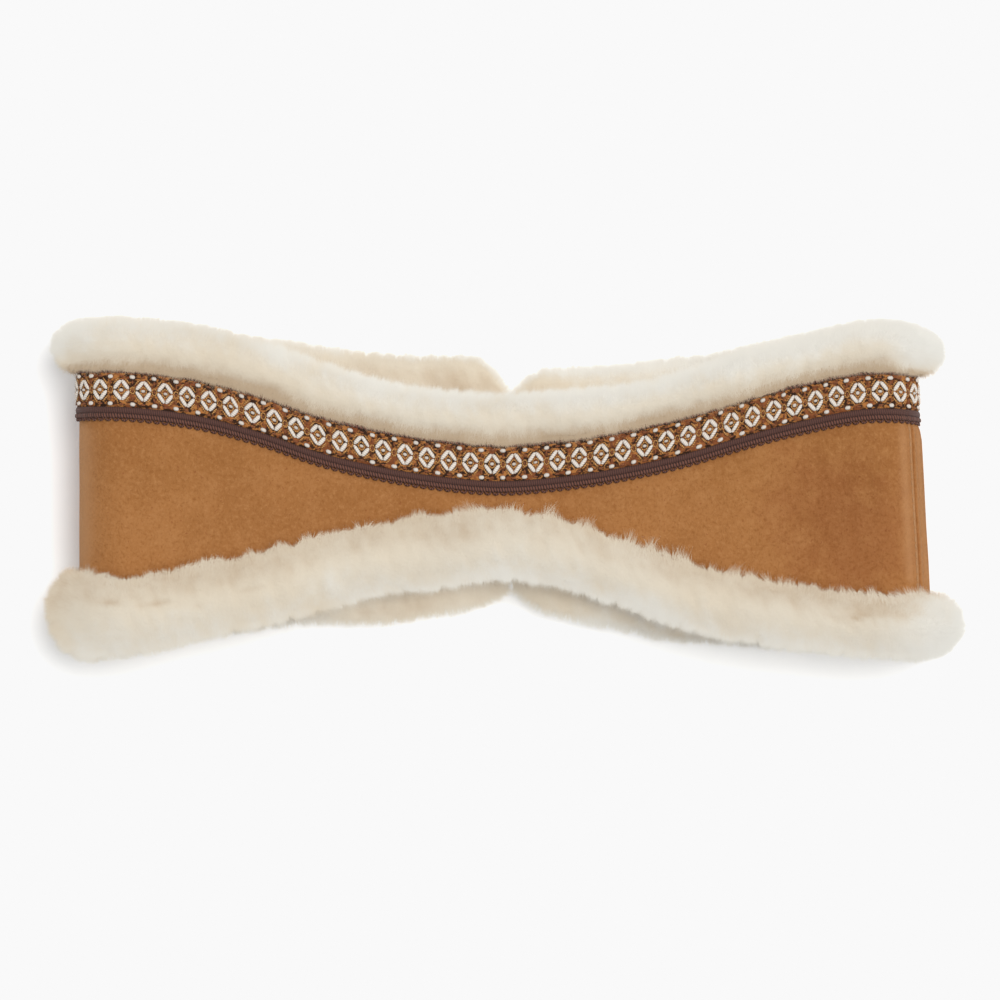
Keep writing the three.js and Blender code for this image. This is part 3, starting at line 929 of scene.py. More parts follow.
def pile(name, grid, count, chance, wool, material, seed):
    """Wool fibres as narrow three-cornered blades: each leaves the fleece along its normal,
    leans to its tuft's middle, with a slow drift and some looseness of its own, and has the
    side that faces more up and out for its front."""
    random = np.random.default_rng(seed)
    row, column = pick_roots(grid, count, chance, random)
    root, normal = on_grid(grid["points"], row, column), unit(on_grid(grid["normals"], row, column))
    along = unit(on_grid(np.gradient(grid["points"], axis=0), row, column))
    across = unit(np.cross(along, normal))
    pull = on_grid(grid["pull"], row, column)
    drift = np.stack([noise(root, 17.0, seed + 1), noise(root, 17.0, seed + 2)], -1) * PILE_DRIFT
    loose = random.normal(0, PILE_LOOSENESS, (count, 2))
    side, over = np.split(wool.clumping * pull + drift + loose, 2, axis=1)
    way = unit(normal + side * along + over * across)
    common = wool.stray_length / MM
    stray = np.minimum(random.exponential(common, count), LONGEST_STRAY * common)
    looser = 1 + 0.75 * wool.halo * (1 - np.abs(normal[:, 2]))
    length = wool.pile_length / MM * random.uniform(0.5, 1.1, count) * looser + stray
    start = root - ROOT_DEPTH * normal
    tip = start + way * length[:, None]
    width = wool.fibre_width / MM * random.uniform(0.7, 1.3, count) / (1 + 0.4 * stray)
    upturned = normal + np.outer(2.5 * smoothstep(-0.7, 0.0, normal[:, 2]), (0.0, 0.0, 1.0))
    flank = unit(np.cross(way, upturned + random.normal(0, 0.3, (count, 3)))) * (width / 2)[:, None]
    blades = np.stack([start - flank, start + flank, tip], 1)
    front = turn_out(blades, upturned)
    blades[..., 2] = np.maximum(blades[..., 2], FLOOR_CLEARANCE)
    base = on_grid(grid["shade"], row, column) + random.normal(0, 0.06, count)
    spots = np.stack([row / len(grid["points"]), column / grid["points"].shape[1]], -1) * 0.98 + 0.01
    soft = unit(wrapped(normal, wool.wrap) + 0.3 * front)
    make_blades(name, blades, spots, base[:, None] + PILE_SHADES, soft, material)


def fringe(name, roll, tones, count, wool, material, seed):
    """The ragged edge of a roll: three-cornered fibres that start on its lip and end on the
    suede, many short and a few long. They gather to tufts along the lip, each tuft with a
    length and a lean of its own, and are worked out in girth, height and stand."""
    random = np.random.default_rng(seed)
    girth = random.uniform(LEFT_END + 1, RIGHT_END - 1, count)
    reach = np.full(count, 0.45)
    lean = 0.25 * noise(girth_line(girth), 21.0, seed)
    for size, share in FRINGE_TUFTS:
        far, pull, _across = tufts(girth, 0 * girth, size, seed + int(size))
        middle = girth_line(girth + pull)
        own = np.clip(0.42 + 1.1 * noise(middle, 1.3, seed + 5), 0, 1)
        reach += share * own * (1 - 0.7 * np.minimum(far, 1) ** 2)
        lean += share * (0.2 * pull + 0.7 * noise(middle, 2.1, seed + 6))
    length = np.interp(girth, *roll["fringe"].T) * reach * np.minimum(random.exponential(0.6, count), 1.6)
    shift = (lean + random.normal(0, 0.3, count)) * length
    way = -roll["way"]
    rise = random.random(count)
    inset = FRINGE_INSET * rise**2
    lip = lip_height(roll, girth)
    root_stand = roll["lip"] + np.minimum(0.4 + 6.0 * rise, 3.3 + 0.75 * inset) * roll["pad"]
    tip_stand = roll["lip"] + (0.1 + 2.2 * rise * random.random(count)) * roll["pad"]
    root = np.stack([girth, lip - way * inset, root_stand], -1)
    tip = np.stack([girth + shift, lip + way * length, tip_stand], -1)
    run = unit(tip[:, :2] - root[:, :2])
    width = wool.fibre_width / MM * random.uniform(0.6, 1.1, count)
    flank = np.stack([-run[:, 1], run[:, 0], 0 * width], -1) * (width / 2)[:, None]
    flat = np.stack([root - flank, root + flank, tip], 1)
    blades = on_band(flat[..., 0], flat[..., 1], flat[..., 2] + suede_lift(flat[..., 0], flat[..., 1]))
    _x, _z, out_x, out_z = loop_point(girth)
    out = np.stack([out_x, 0 * out_x, out_z], -1)
    turn_out(blades, out)
    normals = unit(out + np.array([0.0, 0.3 * way, 0.0]) + 0.12 * random.normal(0, 1, (count, 3)))
    base = np.interp(FRINGE_PLACE - FRINGE_BEFORE * rise, *tones.T) + random.normal(0, 0.07, count)
    spots = np.stack([(girth - LEFT_END) / GIRTH_LENGTH * 0.97 + 0.01, 0.1 + 0.8 * random.random(count)], -1)
    make_blades(name, blades, spots, base[:, None] + FRINGE_SHADES, normals, material)


def make_rolls(wool, look):
    """The two rolled edges: a full body each, the pile that stands on it in two pieces, one
    round the front and the folds and one along the back, and its fringe."""
    body_material = wool_material(look, "wool_body")
    fibre_material = wool_material(look, "wool_fibre", relief=False)
    for seed, (name, roll) in enumerate(ROLLS.items()):
        tones = ROLL_TONES[name]
        grid = roll_grid(roll, tones, wool, step=1.15, samples=46)
        points = grid["points"]
        body = tube_mesh(
            f"{name}_wool_body", points, body_material, roll["way"], shade=grid["shade"],
            normals=wrapped(grid_normals(points, roll["way"]), wool.wrap, 0.0, 0.35),
        )
        finish_piece(body, "wool", f"{name}_wool_roll")
        outward = grid["exposed"][None, :] * np.where(points[..., 2] < 0.05, 0.1, 1.0)
        upward = 0.3 + 0.7 * smoothstep(-0.6, 0.4, grid["normals"][..., 2])
        front = (np.abs(grid["girth"]) < FOLD_END)[:, None]
        parts = {"front": (wool.fibres_front, front), "back": (wool.fibres_back, ~front)}
        for place, (part, (count, there)) in enumerate(parts.items()):
            chance = outward * upward * there
            pile(f"{name}_pile_{part}", grid, count, chance, wool, fibre_material, 100 + 10 * seed + place)
        fringe(f"{name}_fringe", roll, tones, wool.fibres_fringe, wool, fibre_material, 300 + 10 * seed)


# The lining's inner face: how far its tufts' middles lie inside the wall's, and how much
# deeper it is a tuft's size away from them.
LINING_INSET, LINING_DEPTH = 0.5, 0.8


def make_lining(wool, look):
    """The wool inside the panels: a slab behind each, tufted on its inner face, and a
    scatter of fibres on it."""
    material = wool_material(look, "wool_lining")
    fibre_material = wool_material(look, "wool_lining_fibre", relief=False)
    outer = lambda girth, height: suede_lift(girth, height) - SUEDE_THICKNESS - GAP
    tone = lambda girth, height: 0.75 + 0.2 * noise(np.stack([girth, height, 0 * height], -1), 5.0, 43)

    def inner_tufts(girth, height):
        """The tufts' distances and ways on the inner face."""
        return tufts(girth + 0 * height, height, wool.tuft_size / MM, 41)

    def inner(girth, height):
        """The inner face's stand, deeper by the square of the distance from a tuft."""
        far, _to_along, _to_across = inner_tufts(girth, height)
        return LINING_INSET - WALL_THICKNESS + LINING_DEPTH * far**2

    for seed, (panel, (start, end)) in enumerate(PANELS.items()):
        node = f"{panel}_fleece"
        piece, _girth, _width = slab(
            f"wool_{node}", start, end, inner, outer, tone, material, step=1.6, columns=(4, 22),
        )
        finish_piece(piece, "wool", node)
        girth = even_girths(2.4, start, end)[:, None]
        low, high = panel_edges(girth)
        height = low + (high - low) * np.linspace(0, 1, 16)[None, :]
        points = on_band(girth, height, inner(girth, height))
        along, across = np.gradient(points, axis=0), np.gradient(points, axis=1)
        _far, to_along, to_across = inner_tufts(girth, height)
        grid = {
            "points": points, "normals": unit(np.cross(along, across)),
            "shade": tone(girth + 0 * height, height), "pull": np.stack([to_along, to_across], -1),
        }
        chance = np.ones(points.shape[:2])
        chance[:, -1] = 0.0
        count = int(wool.fibres_lining * (end - start) / GIRTH_LENGTH)
        pile(f"pile_{node}", grid, count, chance, wool, fibre_material, 400 + seed)


# ---- Trim -----------------------------------------------------------------------------

def on_trim(girth, below, lift):
    """Points on the trim: below its top edge along the height, lifted off the suede."""
    height = outline(girth)["wool_top"] + TRIM_TUCK - below
    return on_band(girth, height, suede_lift(girth, height) + lift)


# Cords of the trim: how far each lies below the trim's top edge, half its width and half
# its height, the girth between its sections and their corners, how many turns its plies
# make round the band, and its ribs, by their pitch, their share of its size and how they
# wind.
CORDS = {
    "top_edging_cord": {"below": 0.75, "half": (0.6, 0.5), "mesh": (1.2, 6), "turns": 400},
    "flat_cord": {"below": 13.6, "half": (1.1, 0.5), "mesh": (0.6, 8), "turns": 830},
    "laid_cord": {
        "below": 15.35, "half": (0.8, 0.62), "mesh": (0.3, 6), "turns": 660, "ribs": (1.325, 0.1, 1),
    },
}
# Turns over the whole unit square that make one turn round a tube, whose map is a little
# inside it.
ONE_ROUND = 1.02


def cord_tube(name, colours, below, half, mesh, turns, ribs=(1.0, 0.0, 0)):
    """A cord along the whole trim: an oval section that rests on the suede and swells in
    ribs, by the cosine of the way along and round it."""
    step, sides = mesh
    girth = even_girths(step)[:, None]
    angle = np.linspace(0, 2 * np.pi, sides, endpoint=False)[None, :]
    pitch, share, wind = ribs
    swell = 1 + share * np.cos(2 * np.pi * girth / pitch + wind * angle)
    points = on_trim(girth + 0 * angle, below + half[0] * swell * np.cos(angle),
                     GAP + half[1] + half[1] * swell * np.sin(angle))
    material = thread_material(name, *colours, (turns, ONE_ROUND))
    return tube_mesh(name, points, material, -1)


# Empty part of a small map's cell on each side.
CELL_MARGIN = 0.05


def make_many(name, flat, own, polygons, colours, plies, lay):
    """Many like pieces of thread as one mesh: their points by place along, across and lift,
    laid on the band, with one piece's polygons and map repeated. The maps lie side by side
    on one square, and the thread's pattern is stretched so that each piece has so many
    plies along it and one turn round it."""
    count, each = flat.shape[:2]
    offset = (np.arange(count) * each)[:, None, None]
    polygons = [(one + offset).reshape(-1, one.shape[1]) for one in polygons]
    columns = int(np.ceil(np.sqrt(count)))
    cell = np.stack([np.arange(count) % columns, np.arange(count) // columns], -1)[:, None, :]
    filled = 1 - 2 * CELL_MARGIN
    uv = (cell + CELL_MARGIN + filled * own) / columns
    material = thread_material(name, *colours, (plies * columns / filled, columns / filled))
    points = lay(flat[..., 0], flat[..., 1], flat[..., 2])
    return make_piece(name, points, polygons, material, uv=uv)


STITCH_SIDES = 6


def stitches(name, lines, thread, colours, lay):
    """Raised stitches, one for each line (start along, start across, end along, end
    across): a round-ended tube, flattened to its height and arched between its ends. Its
    radius follows the root of one less the fourth power of the way from its middle."""
    width, height, arch, rings, plies = thread
    place = (1 - np.cos(np.linspace(0.12, 0.88, rings) * np.pi)) / 2
    radius = np.sqrt(np.maximum(1 - (2 * place - 1) ** 4, 0.05))[None, :, None]
    angle = np.arange(STITCH_SIDES) * 2 * np.pi / STITCH_SIDES
    count = len(lines)
    start, end = lines[:, None, None, :2], lines[:, None, None, 2:]
    run = end - start
    sideways = unit(np.stack([-run[..., 1], run[..., 0]], -1))
    aside = sideways * (width / 2) * (radius * np.cos(angle))[..., None]
    spot = start + run * place[None, :, None, None] + aside
    lift = height / 2 + height / 2 * radius * np.sin(angle)
    lift = np.broadcast_to(lift + arch * (1 - (2 * place - 1) ** 2)[None, :, None], spot.shape[:-1])
    body = np.concatenate([spot, lift[..., None]], -1).reshape(count, -1, 3)
    tips = np.stack([lines[:, :2], lines[:, 2:]], 1)
    flat = np.concatenate([body, np.concatenate([tips, np.full((count, 2, 1), height / 2)], -1)], 1)
    corner = np.arange(STITCH_SIDES)
    after = (corner + 1) % STITCH_SIDES
    last = (rings - 1) * STITCH_SIDES
    first_tip = np.full(STITCH_SIDES, rings * STITCH_SIDES)
    fans = np.concatenate([
        np.stack([first_tip, after, corner], -1), np.stack([first_tip + 1, last + corner, last + after], -1),
    ])
    sides = quads_between(rings, STITCH_SIDES)
    own = np.stack(np.meshgrid(place, angle / (2 * np.pi), indexing="ij"), -1).reshape(-1, 2)
    own = np.concatenate([own, [(0.0, 0.5), (1.0, 0.5)]])
    return make_many(name, flat, own, [sides[:, ::-1], fans[:, ::-1]], colours, plies, lay)


RING_AROUND, RING_SIDES = 10, 5


def thread_rings(name, centres, reach, thickness, plies, colours, lay):
    """Closed loops of thread that lie flat, one round each centre (along, across): a circle
    carried round an ellipse of that reach."""
    around, round_thread = np.arange(RING_AROUND) / RING_AROUND, np.arange(RING_SIDES) / RING_SIDES
    turn, angle = 2 * np.pi * around[:, None], 2 * np.pi * round_thread[None, :]
    out = thickness / 2 * np.cos(angle)
    one = np.stack(np.broadcast_arrays(
        (reach[0] + out) * np.cos(turn), (reach[1] + out) * np.sin(turn),
        thickness / 2 + thickness / 2 * np.sin(angle),
    ), -1).reshape(-1, 3)
    flat = np.column_stack([centres, np.zeros(len(centres))])[:, None, :] + one
    quads = quads_between(RING_AROUND + 1, RING_SIDES) % len(one)
    own = np.stack(np.meshgrid(around, round_thread, indexing="ij"), -1).reshape(-1, 2)
    return make_many(name, flat, own, [quads], colours, plies, lay)


# One repeat of the ribbon, in millimetres along it and below the trim's top edge. A row is
# a stitch: its thread, where it starts and where it ends.
RIBBON_REPEAT = 7.2
RIBBON_CHART = (
    ("cream", 0.13, 3.6, 2.46, 6.72),
    ("cream", -2.46, 6.72, -0.13, 3.6),
    ("cream", 0.13, 10.2, 2.46, 7.08),
    ("cream", -2.46, 7.08, -0.13, 10.2),
    ("cream", 0.0, 6.4, 0.0, 7.4),
    ("cream", 2.7, 2.45, 4.5, 2.45),
    ("cream", 2.7, 11.4, 4.5, 11.4),
    ("gold", 1.03, 2.9, 2.75, 5.05),
    ("gold", -1.03, 2.9, -2.75, 5.05),
    ("gold", 1.03, 10.9, 2.75, 8.75),
    ("gold", -1.03, 10.9, -2.75, 8.75),
    ("rust", -0.76, 2.35, 0.76, 2.35),
    ("rust", -0.76, 11.5, 0.76, 11.5),
    ("rust", 3.6, 6.45, 3.6, 7.35),
    ("rust", 3.6, 3.55, 3.6, 4.85),
    ("rust", 3.6, 8.95, 3.6, 10.25),
)
# Each thread: a stitch's width, its height, its arch, its mesh's rings and its plies.
THREADS = {"cream": (1.38, 0.9, 0.25, 5, 5), "gold": (0.7, 0.6, 0.1, 3, 4), "rust": (0.75, 0.6, 0.1, 3, 3)}
SEAM_THREAD = (0.36, 0.3, 0.05, 3, 6)
# A ring's thickness and its plies, in the ribbon and at the picots.
GOLD_RING, PICOT_RING = (0.55, 9), (0.8, 7)
# Rings of gold thread in one repeat: the middle, and the reach along and across.
RIBBON_RINGS = ((0.0, 6.9, 1.03, 1.32), (3.6, 6.9, 0.76, 1.09))
# The ribbon's ground: its outer face off the suede, and the depth and pitch of its weave.
GROUND_STAND, WEAVE_DEPTH, WEAVE_PITCH = 0.75, 0.07, 1.4
# How far off the suede the raised threads rest, a little way into the ground.
THREADS_REST = 0.62
# Picot loops: how far below the trim's top edge, and their reach along and across.
PICOTS_BELOW, PICOT_REACH = 16.15, (0.85, 0.75)
# Topstitches: how far off the seam, from one to the next, their length, and how far they
# are pulled into the suede.
STITCH_OFF, STITCH_PITCH, STITCH_LENGTH, STITCH_SUNK = 1.55, 2.6, 2.2, 0.12


def repeat_middles(repeat):
    """Where each repeat's middle lies round the band, once a whole number of them fits."""
    count = int(round(GIRTH_LENGTH / repeat))
    return LEFT_END + GIRTH_LENGTH / count * (np.arange(count) + 0.5)


def make_trim(trim, look):
    """The woven trim: its ground, the dark edging above it, and below it a flat cord, a
    laid cord and a row of picot loops."""
    start, width = RIBBON_START - SELVEDGE, RIBBON_WIDTH + 2 * SELVEDGE
    girth = even_girths(WEAVE_PITCH / 2)[:, None]
    share = np.linspace(0, 1, 8)[None, :]
    top = start + width * share
    weave = WEAVE_DEPTH * np.cos(2 * np.pi * girth / WEAVE_PITCH) * np.cos(2 * np.pi * share * 4)
    below = np.concatenate([top, top[:, ::-1]], axis=1)
    lift = np.concatenate([GROUND_STAND + weave, np.full_like(weave, GAP)], axis=1)
    points = on_trim(girth + 0 * below, below + 0 * girth, lift)
    ribbon = tube_mesh("ribbon_ground", points, ground_material(look), 1)
    finish_piece(ribbon, "woven_ribbon", "trim_ribbon")
    GIRTH_LENGTH * MM

    dark = (look.cord_colour, look.cord_groove_shade)
    plain = (look.cord_plain, look.cord_plain_groove_shade)
    edging = cord_tube("top_edging_cord", dark, **CORDS["top_edging_cord"])
    flat_cord = cord_tube("flat_cord", plain, **CORDS["flat_cord"])
    laid_cord = cord_tube("laid_cord", dark, **CORDS["laid_cord"])
    finish_piece(edging, "dark_edging", "trim_top_edging")
    finish_piece(flat_cord, "dark_edging", "trim_picot_edging")
    finish_piece(laid_cord, "dark_edging")
    middles = repeat_middles(trim.picot_pitch / MM)
    centres = np.column_stack([middles, np.full(len(middles), PICOTS_BELOW)])
    lay = lambda along, below, lift: on_trim(along, below, lift + GAP)
    picots = thread_rings("picot_loops", centres, PICOT_REACH, *PICOT_RING, dark, lay)
    finish_piece(picots, "dark_edging")


def make_threads(look):
    """The ribbon's raised stitches and rings, repeated round the band, a piece for each
    thread."""
    colours = {
        "cream": (look.thread_cream, look.thread_cream_groove_shade),
        "gold": (look.thread_gold, look.thread_gold_groove_shade),
        "rust": (look.thread_rust, look.thread_rust_groove_shade),
    }
    random = np.random.default_rng(7)
    middles = repeat_middles(RIBBON_REPEAT)
    lay = lambda along, below, lift: on_trim(along, below, lift + THREADS_REST)
    for yarn, thread in THREADS.items():
        rows = np.array([row[1:] for row in RIBBON_CHART if row[0] == yarn])
        lines = np.tile(rows, (len(middles), 1, 1)) + random.normal(0, 0.07, (len(middles), len(rows), 4))
        lines[:, :, [0, 2]] += middles[:, None, None]
        lines = lines.reshape(-1, 4)
        lines = lines[(lines[:, [0, 2]].min(1) > LEFT_END) & (lines[:, [0, 2]].max(1) < RIGHT_END)]
        piece = stitches(f"ribbon_stitches_{yarn}", lines, thread, colours[yarn], lay)
        finish_piece(piece, "woven_ribbon")
    for place, (along, below, *reach) in enumerate(RIBBON_RINGS):
        centres = np.column_stack([middles + along, np.full(len(middles), below)])
        centres = centres[(centres[:, 0] > LEFT_END + 1) & (centres[:, 0] < RIGHT_END - 1)]
        piece = thread_rings(f"ribbon_rings_{place + 1}", centres, reach, *GOLD_RING, colours["gold"], lay)
        finish_piece(piece, "woven_ribbon")


def make_seams(look):
    """Topstitching on both sides of each seam, between the trim and the lower wool."""
    lines = []
    for seam, sides in SEAMS.items():
        edges = outline(np.array([seam]))
        low, high = edges["wool_low"][0] - 1.0, edges["wool_top"][0] - TRIM_HEIGHT + 0.5
        starts = np.arange(low, high - 2.0, STITCH_PITCH)
        for side in sides:
            at = np.full_like(starts, seam + side * STITCH_OFF)
            lines.append(np.stack([at, starts, at, starts + STITCH_LENGTH], -1))

    def lay(girth, height, lift):
        """Points on the suede and its ridges."""
        return on_band(girth, height, suede_lift(girth, height) + seam_ridge(girth) + lift - STITCH_SUNK)

    # The seam thread's colour between plies, its painted shade, is the suede's raised-nap colour.
    colours = (look.seam_thread, look.suede_light)
    finish_piece(stitches("seam_stitches", np.concatenate(lines), SEAM_THREAD, colours, lay), "suede")


# ---- Stage ----------------------------------------------------------------------------

# How far each key light leans to X and to Y for one up.
KEY_TILTS = ((0.25, 0.25), (0.25, 0.12))
# Half the floor's width, its clouds as a share of its colour, how far the front's wool lies
# below the band's top, and the camera's sensor in millimetres.
FLOOR_REACH = 12.0
FLOOR_CLOUDS = 0.995
FRONT_BELOW_TOP = 0.006
SENSOR_WIDTH = 36.0


def aim(thing, at):
    """Turns a camera or light at the stage so that it looks at a point."""
    way = Vector(at) - thing.location
    thing.rotation_euler = way.to_track_quat("-Z", "Y").to_euler()


def make_stage(stage):
    """A wide pale floor, even light from all round, two broad soft lamps from the upper
    right, a camera straight above, and a curve that levels off the highlights."""
    scene = bpy.context.scene
    view = scene.view_settings
    view.view_transform = "Standard"
    view.use_curve_mapping = True
    view.curve_mapping.extend = "HORIZONTAL"
    view.curve_mapping.curves[3].points[1].location = (stage.brightest, stage.brightest)
    view.curve_mapping.update()
    floor_graph = Graph("pale_floor")
    place = floor_graph.object_place()
    cloud = floor_graph.noise(place, 3.0, 2.0)
    cloudy = [part * FLOOR_CLOUDS for part in stage.floor_colour]
    colour = floor_graph.blend(cloud, stage.floor_colour, cloudy)
    material = floor_graph.surface(
        Base_Color=colour, Roughness=0.9, Specular_IOR_Level=0.0,
        Emission_Color=(1.0, 1.0, 1.0, 1.0), Emission_Strength=stage.floor_glow,
    )
    mesh = bpy.data.meshes.new("floor")
    corners = [(x * FLOOR_REACH, y * FLOOR_REACH, 0) for x, y in ((-1, -1), (1, -1), (1, 1), (-1, 1))]
    mesh.from_pydata(corners, [], [(0, 1, 2, 3)])
    mesh.materials.append(material)
    floor = bpy.data.objects.new("floor", mesh)
    scene.collection.objects.link(floor)

    world = bpy.data.worlds.new("studio")
    world.use_nodes = True
    world.node_tree.nodes["Background"].inputs["Color"].default_value = (*stage.sky_colour, 1.0)
    world.node_tree.nodes["Background"].inputs["Strength"].default_value = stage.sky_strength
    scene.world = world

    for place, tilt in enumerate(KEY_TILTS):
        sun = bpy.data.lights.new(f"key_{place + 1}", "SUN")
        sun.color = stage.key_colour
        sun.energy, sun.angle = stage.key_strength / len(KEY_TILTS), stage.key_softness
        key = bpy.data.objects.new(sun.name, sun)
        key.location = (*tilt, 1.0)
        aim(key, (0, 0, 0))
        scene.collection.objects.link(key)

    lens = bpy.data.cameras.new("camera")
    lens.sensor_width = SENSOR_WIDTH
    front = cad_high.z - FRONT_BELOW_TOP
    lens.lens = SENSOR_WIDTH * (stage.camera_height - front) / stage.frame_width
    lens.clip_start, lens.clip_end = 0.05, 40.0
    camera = bpy.data.objects.new("camera", lens)
    camera.location = (stage.camera_x, stage.camera_y, stage.camera_height)
    scene.collection.objects.link(camera)
    scene.camera = camera


# ---- Settings -------------------------------------------------------------------------

def colour(name, description, default):
    """A colour that a user can change."""
    return FloatVectorProperty(
        name=name, description=description, default=default, subtype="COLOR", min=0, max=1,
    )


def length(name, description, default):
    """A length in metres that a user can change."""
    return FloatProperty(name=name, description=description, default=default, unit="LENGTH", precision=5)


class HeadbandWool(PropertyGroup):
    """The wool's measures"""
    pile_length: length("Pile length", "Length of the fibres that stand on the fleece", 0.0023)
    pile_inset: length("Pile inset", "How far the fleece lies inside the roll's form", 0.0013)
    stray_length: length("Stray length", "How much longer a stray fibre is, on average", 0.0005)
    wrap: FloatProperty(name="Soft light", description="How far light goes round in the wool", default=1.9)
    halo: FloatProperty(name="Halo", description="How much looser the pile is along the outline", default=0.9)
    fibre_width: length("Fibre width", "Width of a fibre at its root", 0.00013)
    tuft_size: length("Tuft size", "Distance between the tufts of the pile", 0.0046)
    tuft_depth: length("Tuft depth", "How far a tuft stands above the creases round it", 0.0005)
    clumping: FloatProperty(name="Clumping", description="Lean of a fibre to its tuft's middle", default=0.17)
    fibres_front: IntProperty(name="Front fibres", description="On the front of each roll", default=178000)
    fibres_back: IntProperty(name="Back fibres", description="On the back of each roll", default=76000)
    fibres_fringe: IntProperty(name="Fringe fibres", description="Over each roll's lip", default=30000)
    fibres_lining: IntProperty(name="Lining fibres", description="On the wool inside", default=40000)


class HeadbandTrim(PropertyGroup):
    """The trim's measures"""
    picot_pitch: length("Picot pitch", "Distance between two picot loops", 0.00265)


class HeadbandLook(PropertyGroup):
    """The colours of every finish"""
    suede_colour: colour("Suede", "Ground colour of the suede", (0.415, 0.177, 0.057))
    suede_light: colour("Suede, raised nap", "Where the nap stands up", (0.47, 0.215, 0.078))
    # Painted highlight on the seam ridges and the left fold, and paler over the hem by the seams.
    suede_highlight: colour("Suede, rubbed", "Along ridges and the left fold", (0.52, 0.26, 0.115))
    suede_deep: colour("Suede, laid nap", "Where the nap lies down", (0.30, 0.115, 0.031))
    suede_brushed: colour("Suede, flecks", "Single darker fibres", (0.29, 0.098, 0.031))
    suede_patch: colour("Suede, brushed patch", "Darkens nap brushed the other way", (0.80, 0.70, 0.70))
    # Painted shade in the seams, under the trim and against the lower wool.
    suede_shadow: colour("Suede, seams", "Darkens the seams and the edges by the wool", (0.62, 0.55, 0.50))
    wool_tip: colour("Wool tips", "Ends of the fibres", (0.765, 0.682, 0.555))
    wool_warm: colour("Wool tips, warmer", "Ends of the fibres in warmer parts", (0.765, 0.668, 0.527))
    # Painted highlight on the wool's rims.
    wool_highlight: colour("Wool, highlighted", "The pile along the outer edges", (0.83, 0.795, 0.72))
    wool_cool: colour("Wool, cooler", "The pile at the right end", (0.785, 0.77, 0.72))
    # Painted shade deep in the pile, between the tufts and by the trim.
    wool_depth_shade: colour("Wool depth", "Deep between the tufts", (0.54, 0.405, 0.27))
    ground_dark: colour("Ribbon, dark yarn", "Dark yarn of the ground", (0.04, 0.016, 0.008))
    ground_gold: colour("Ribbon, golden yarn", "Golden yarn of the ground", (0.45, 0.18, 0.05))
    ground_rust: colour("Ribbon, rust yarn", "Rust yarn of the ground", (0.26, 0.08, 0.027))
    thread_cream: colour("Cream thread", "Raised cream thread", (0.90, 0.84, 0.77))
    # Painted shade between the plies.
    thread_cream_groove_shade: colour("Cream thread, between plies", "Its darker grooves", (0.74, 0.65, 0.56))
    thread_gold: colour("Gold thread", "Raised golden thread", (0.68, 0.35, 0.115))
    # Painted shade between the plies.
    thread_gold_groove_shade: colour("Gold thread, between plies", "Its darker grooves", (0.24, 0.10, 0.025))
    thread_rust: colour("Rust thread", "Raised rust thread", (0.34, 0.12, 0.045))
    # Painted shade between the plies.
    thread_rust_groove_shade: colour("Rust thread, between plies", "Its darker grooves", (0.18, 0.05, 0.018))
    cord_colour: colour("Dark cord", "Raised parts of the dark edging", (0.185, 0.074, 0.05))
    # Painted shade between the plies.
    cord_groove_shade: colour("Dark cord, between plies", "Its darker grooves", (0.04, 0.016, 0.012))
    cord_plain: colour("Flat cord", "The smooth cord beside the ribbon", (0.118, 0.048, 0.035))
    # Painted shade between the plies.
    cord_plain_groove_shade: colour("Flat cord, between plies", "Its darker grooves", (0.06, 0.025, 0.02))
    seam_thread: colour("Seam thread", "Topstitching", (0.56, 0.33, 0.17))


class HeadbandStage(PropertyGroup):
    """The floor, the lights and the camera"""
    floor_colour: colour("Floor", "Colour of the floor", (0.90, 0.90, 0.90))
    brightest: FloatProperty(name="Brightest", description="Where the highlights level off", default=0.947)
    floor_glow: FloatProperty(name="Floor glow", description="Light that the floor gives off", default=0.21)
    sky_colour: colour("Surrounding light", "Colour of the light from all round", (0.945, 0.975, 1.0))
    sky_strength: FloatProperty(name="Surrounding strength", description="Light from all round", default=0.4)
    key_colour: colour("Key colour", "Colour of the light from the upper right", (1.0, 0.99, 0.975))
    key_strength: FloatProperty(name="Key strength", description="Light from the upper right", default=2.1)
    key_softness: FloatProperty(
        name="Key softness", description="Angle that each key light fills", default=0.42, subtype="ANGLE",
    )
    camera_height: length("Camera height", "Camera above the floor", 4.0)
    camera_x: length("Camera X", "Camera's place along X", -0.0015)
    camera_y: length("Camera Y", "Camera's place along Y", -0.0038)
    frame_width: length("Frame width", "What the picture takes in at the band's front", 0.3285)


# ---- Operators ------------------------------------------------------------------------

class HEADBAND_OT_stage(Operator):
    """Make the floor, the lights and the camera"""
    bl_idname = "headband.stage"
    bl_label = "Stage"

    def execute(self, context):
        make_stage(context.scene.headband_stage)
        return {"FINISHED"}


class HEADBAND_OT_panels(Operator):
    """Make the three suede panels"""
    bl_idname = "headband.panels"
    bl_label = "Suede Panels"

    def execute(self, context):
        make_panels(context.scene.headband_look)
        return {"FINISHED"}


class HEADBAND_OT_seams(Operator):
    """Make the topstitching beside the seams"""
    bl_idname = "headband.seams"
    bl_label = "Seam Stitches"

    def execute(self, context):
        make_seams(context.scene.headband_look)
        return {"FINISHED"}


class HEADBAND_OT_lining(Operator):
    """Make the wool on the inside of the panels"""
    bl_idname = "headband.lining"
    bl_label = "Wool Lining"

    def execute(self, context):
        make_lining(context.scene.headband_wool, context.scene.headband_look)
        return {"FINISHED"}


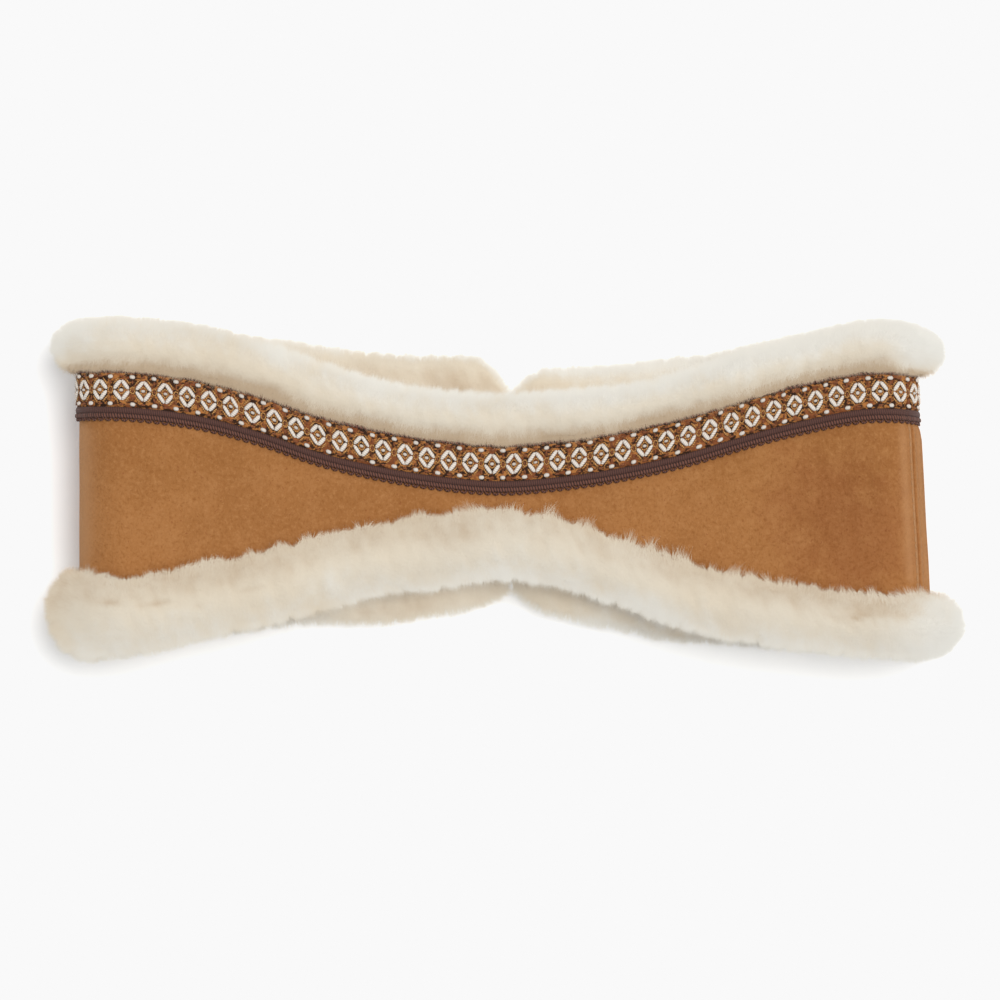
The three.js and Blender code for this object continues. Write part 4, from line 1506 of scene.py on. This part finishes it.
class HEADBAND_OT_rolls(Operator):
    """Make the two rolled wool edges and their pile"""
    bl_idname = "headband.rolls"
    bl_label = "Wool Rolls"

    def execute(self, context):
        make_rolls(context.scene.headband_wool, context.scene.headband_look)
        return {"FINISHED"}


class HEADBAND_OT_trim(Operator):
    """Make the trim's ribbon, cords and picots"""
    bl_idname = "headband.trim"
    bl_label = "Woven Trim"

    def execute(self, context):
        make_trim(context.scene.headband_trim, context.scene.headband_look)
        return {"FINISHED"}


class HEADBAND_OT_threads(Operator):
    """Make the raised stitches on the ribbon"""
    bl_idname = "headband.threads"
    bl_label = "Ribbon Stitches"

    def execute(self, context):
        make_threads(context.scene.headband_look)
        return {"FINISHED"}


OPERATORS = (
    HEADBAND_OT_stage, HEADBAND_OT_panels, HEADBAND_OT_seams, HEADBAND_OT_lining, HEADBAND_OT_rolls,
    HEADBAND_OT_trim, HEADBAND_OT_threads,
)
SETTINGS = {
    "headband_wool": HeadbandWool,
    "headband_trim": HeadbandTrim,
    "headband_look": HeadbandLook,
    "headband_stage": HeadbandStage,
}


class HEADBAND_PT_sidebar(Panel):
    """The headband's pieces and their settings"""
    bl_idname = "HEADBAND_PT_sidebar"
    bl_label = "Shearling Headband"
    bl_space_type = "VIEW_3D"
    bl_region_type = "UI"
    bl_category = "Headband"

    def draw(self, context):
        for operator in OPERATORS:
            self.layout.operator(operator.bl_idname)
        for name, group in SETTINGS.items():
            box = self.layout.box()
            for setting in group.__annotations__:
                box.prop(getattr(context.scene, name), setting)


def register():
    for group in (*SETTINGS.values(), *OPERATORS, HEADBAND_PT_sidebar):
        bpy.utils.register_class(group)
    for name, group in SETTINGS.items():
        setattr(bpy.types.Scene, name, PointerProperty(type=group))


def unregister():
    for name in SETTINGS:
        delattr(bpy.types.Scene, name)
    for group in (HEADBAND_PT_sidebar, *reversed(OPERATORS), *reversed(SETTINGS.values())):
        bpy.utils.unregister_class(group)


def main():
    """Makes every piece in order."""
    register()
    bpy.ops.headband.stage()
    bpy.ops.headband.panels()
    bpy.ops.headband.seams()
    bpy.ops.headband.lining()
    bpy.ops.headband.rolls()
    bpy.ops.headband.trim()
    bpy.ops.headband.threads()


if __name__ == "__main__":
    main()
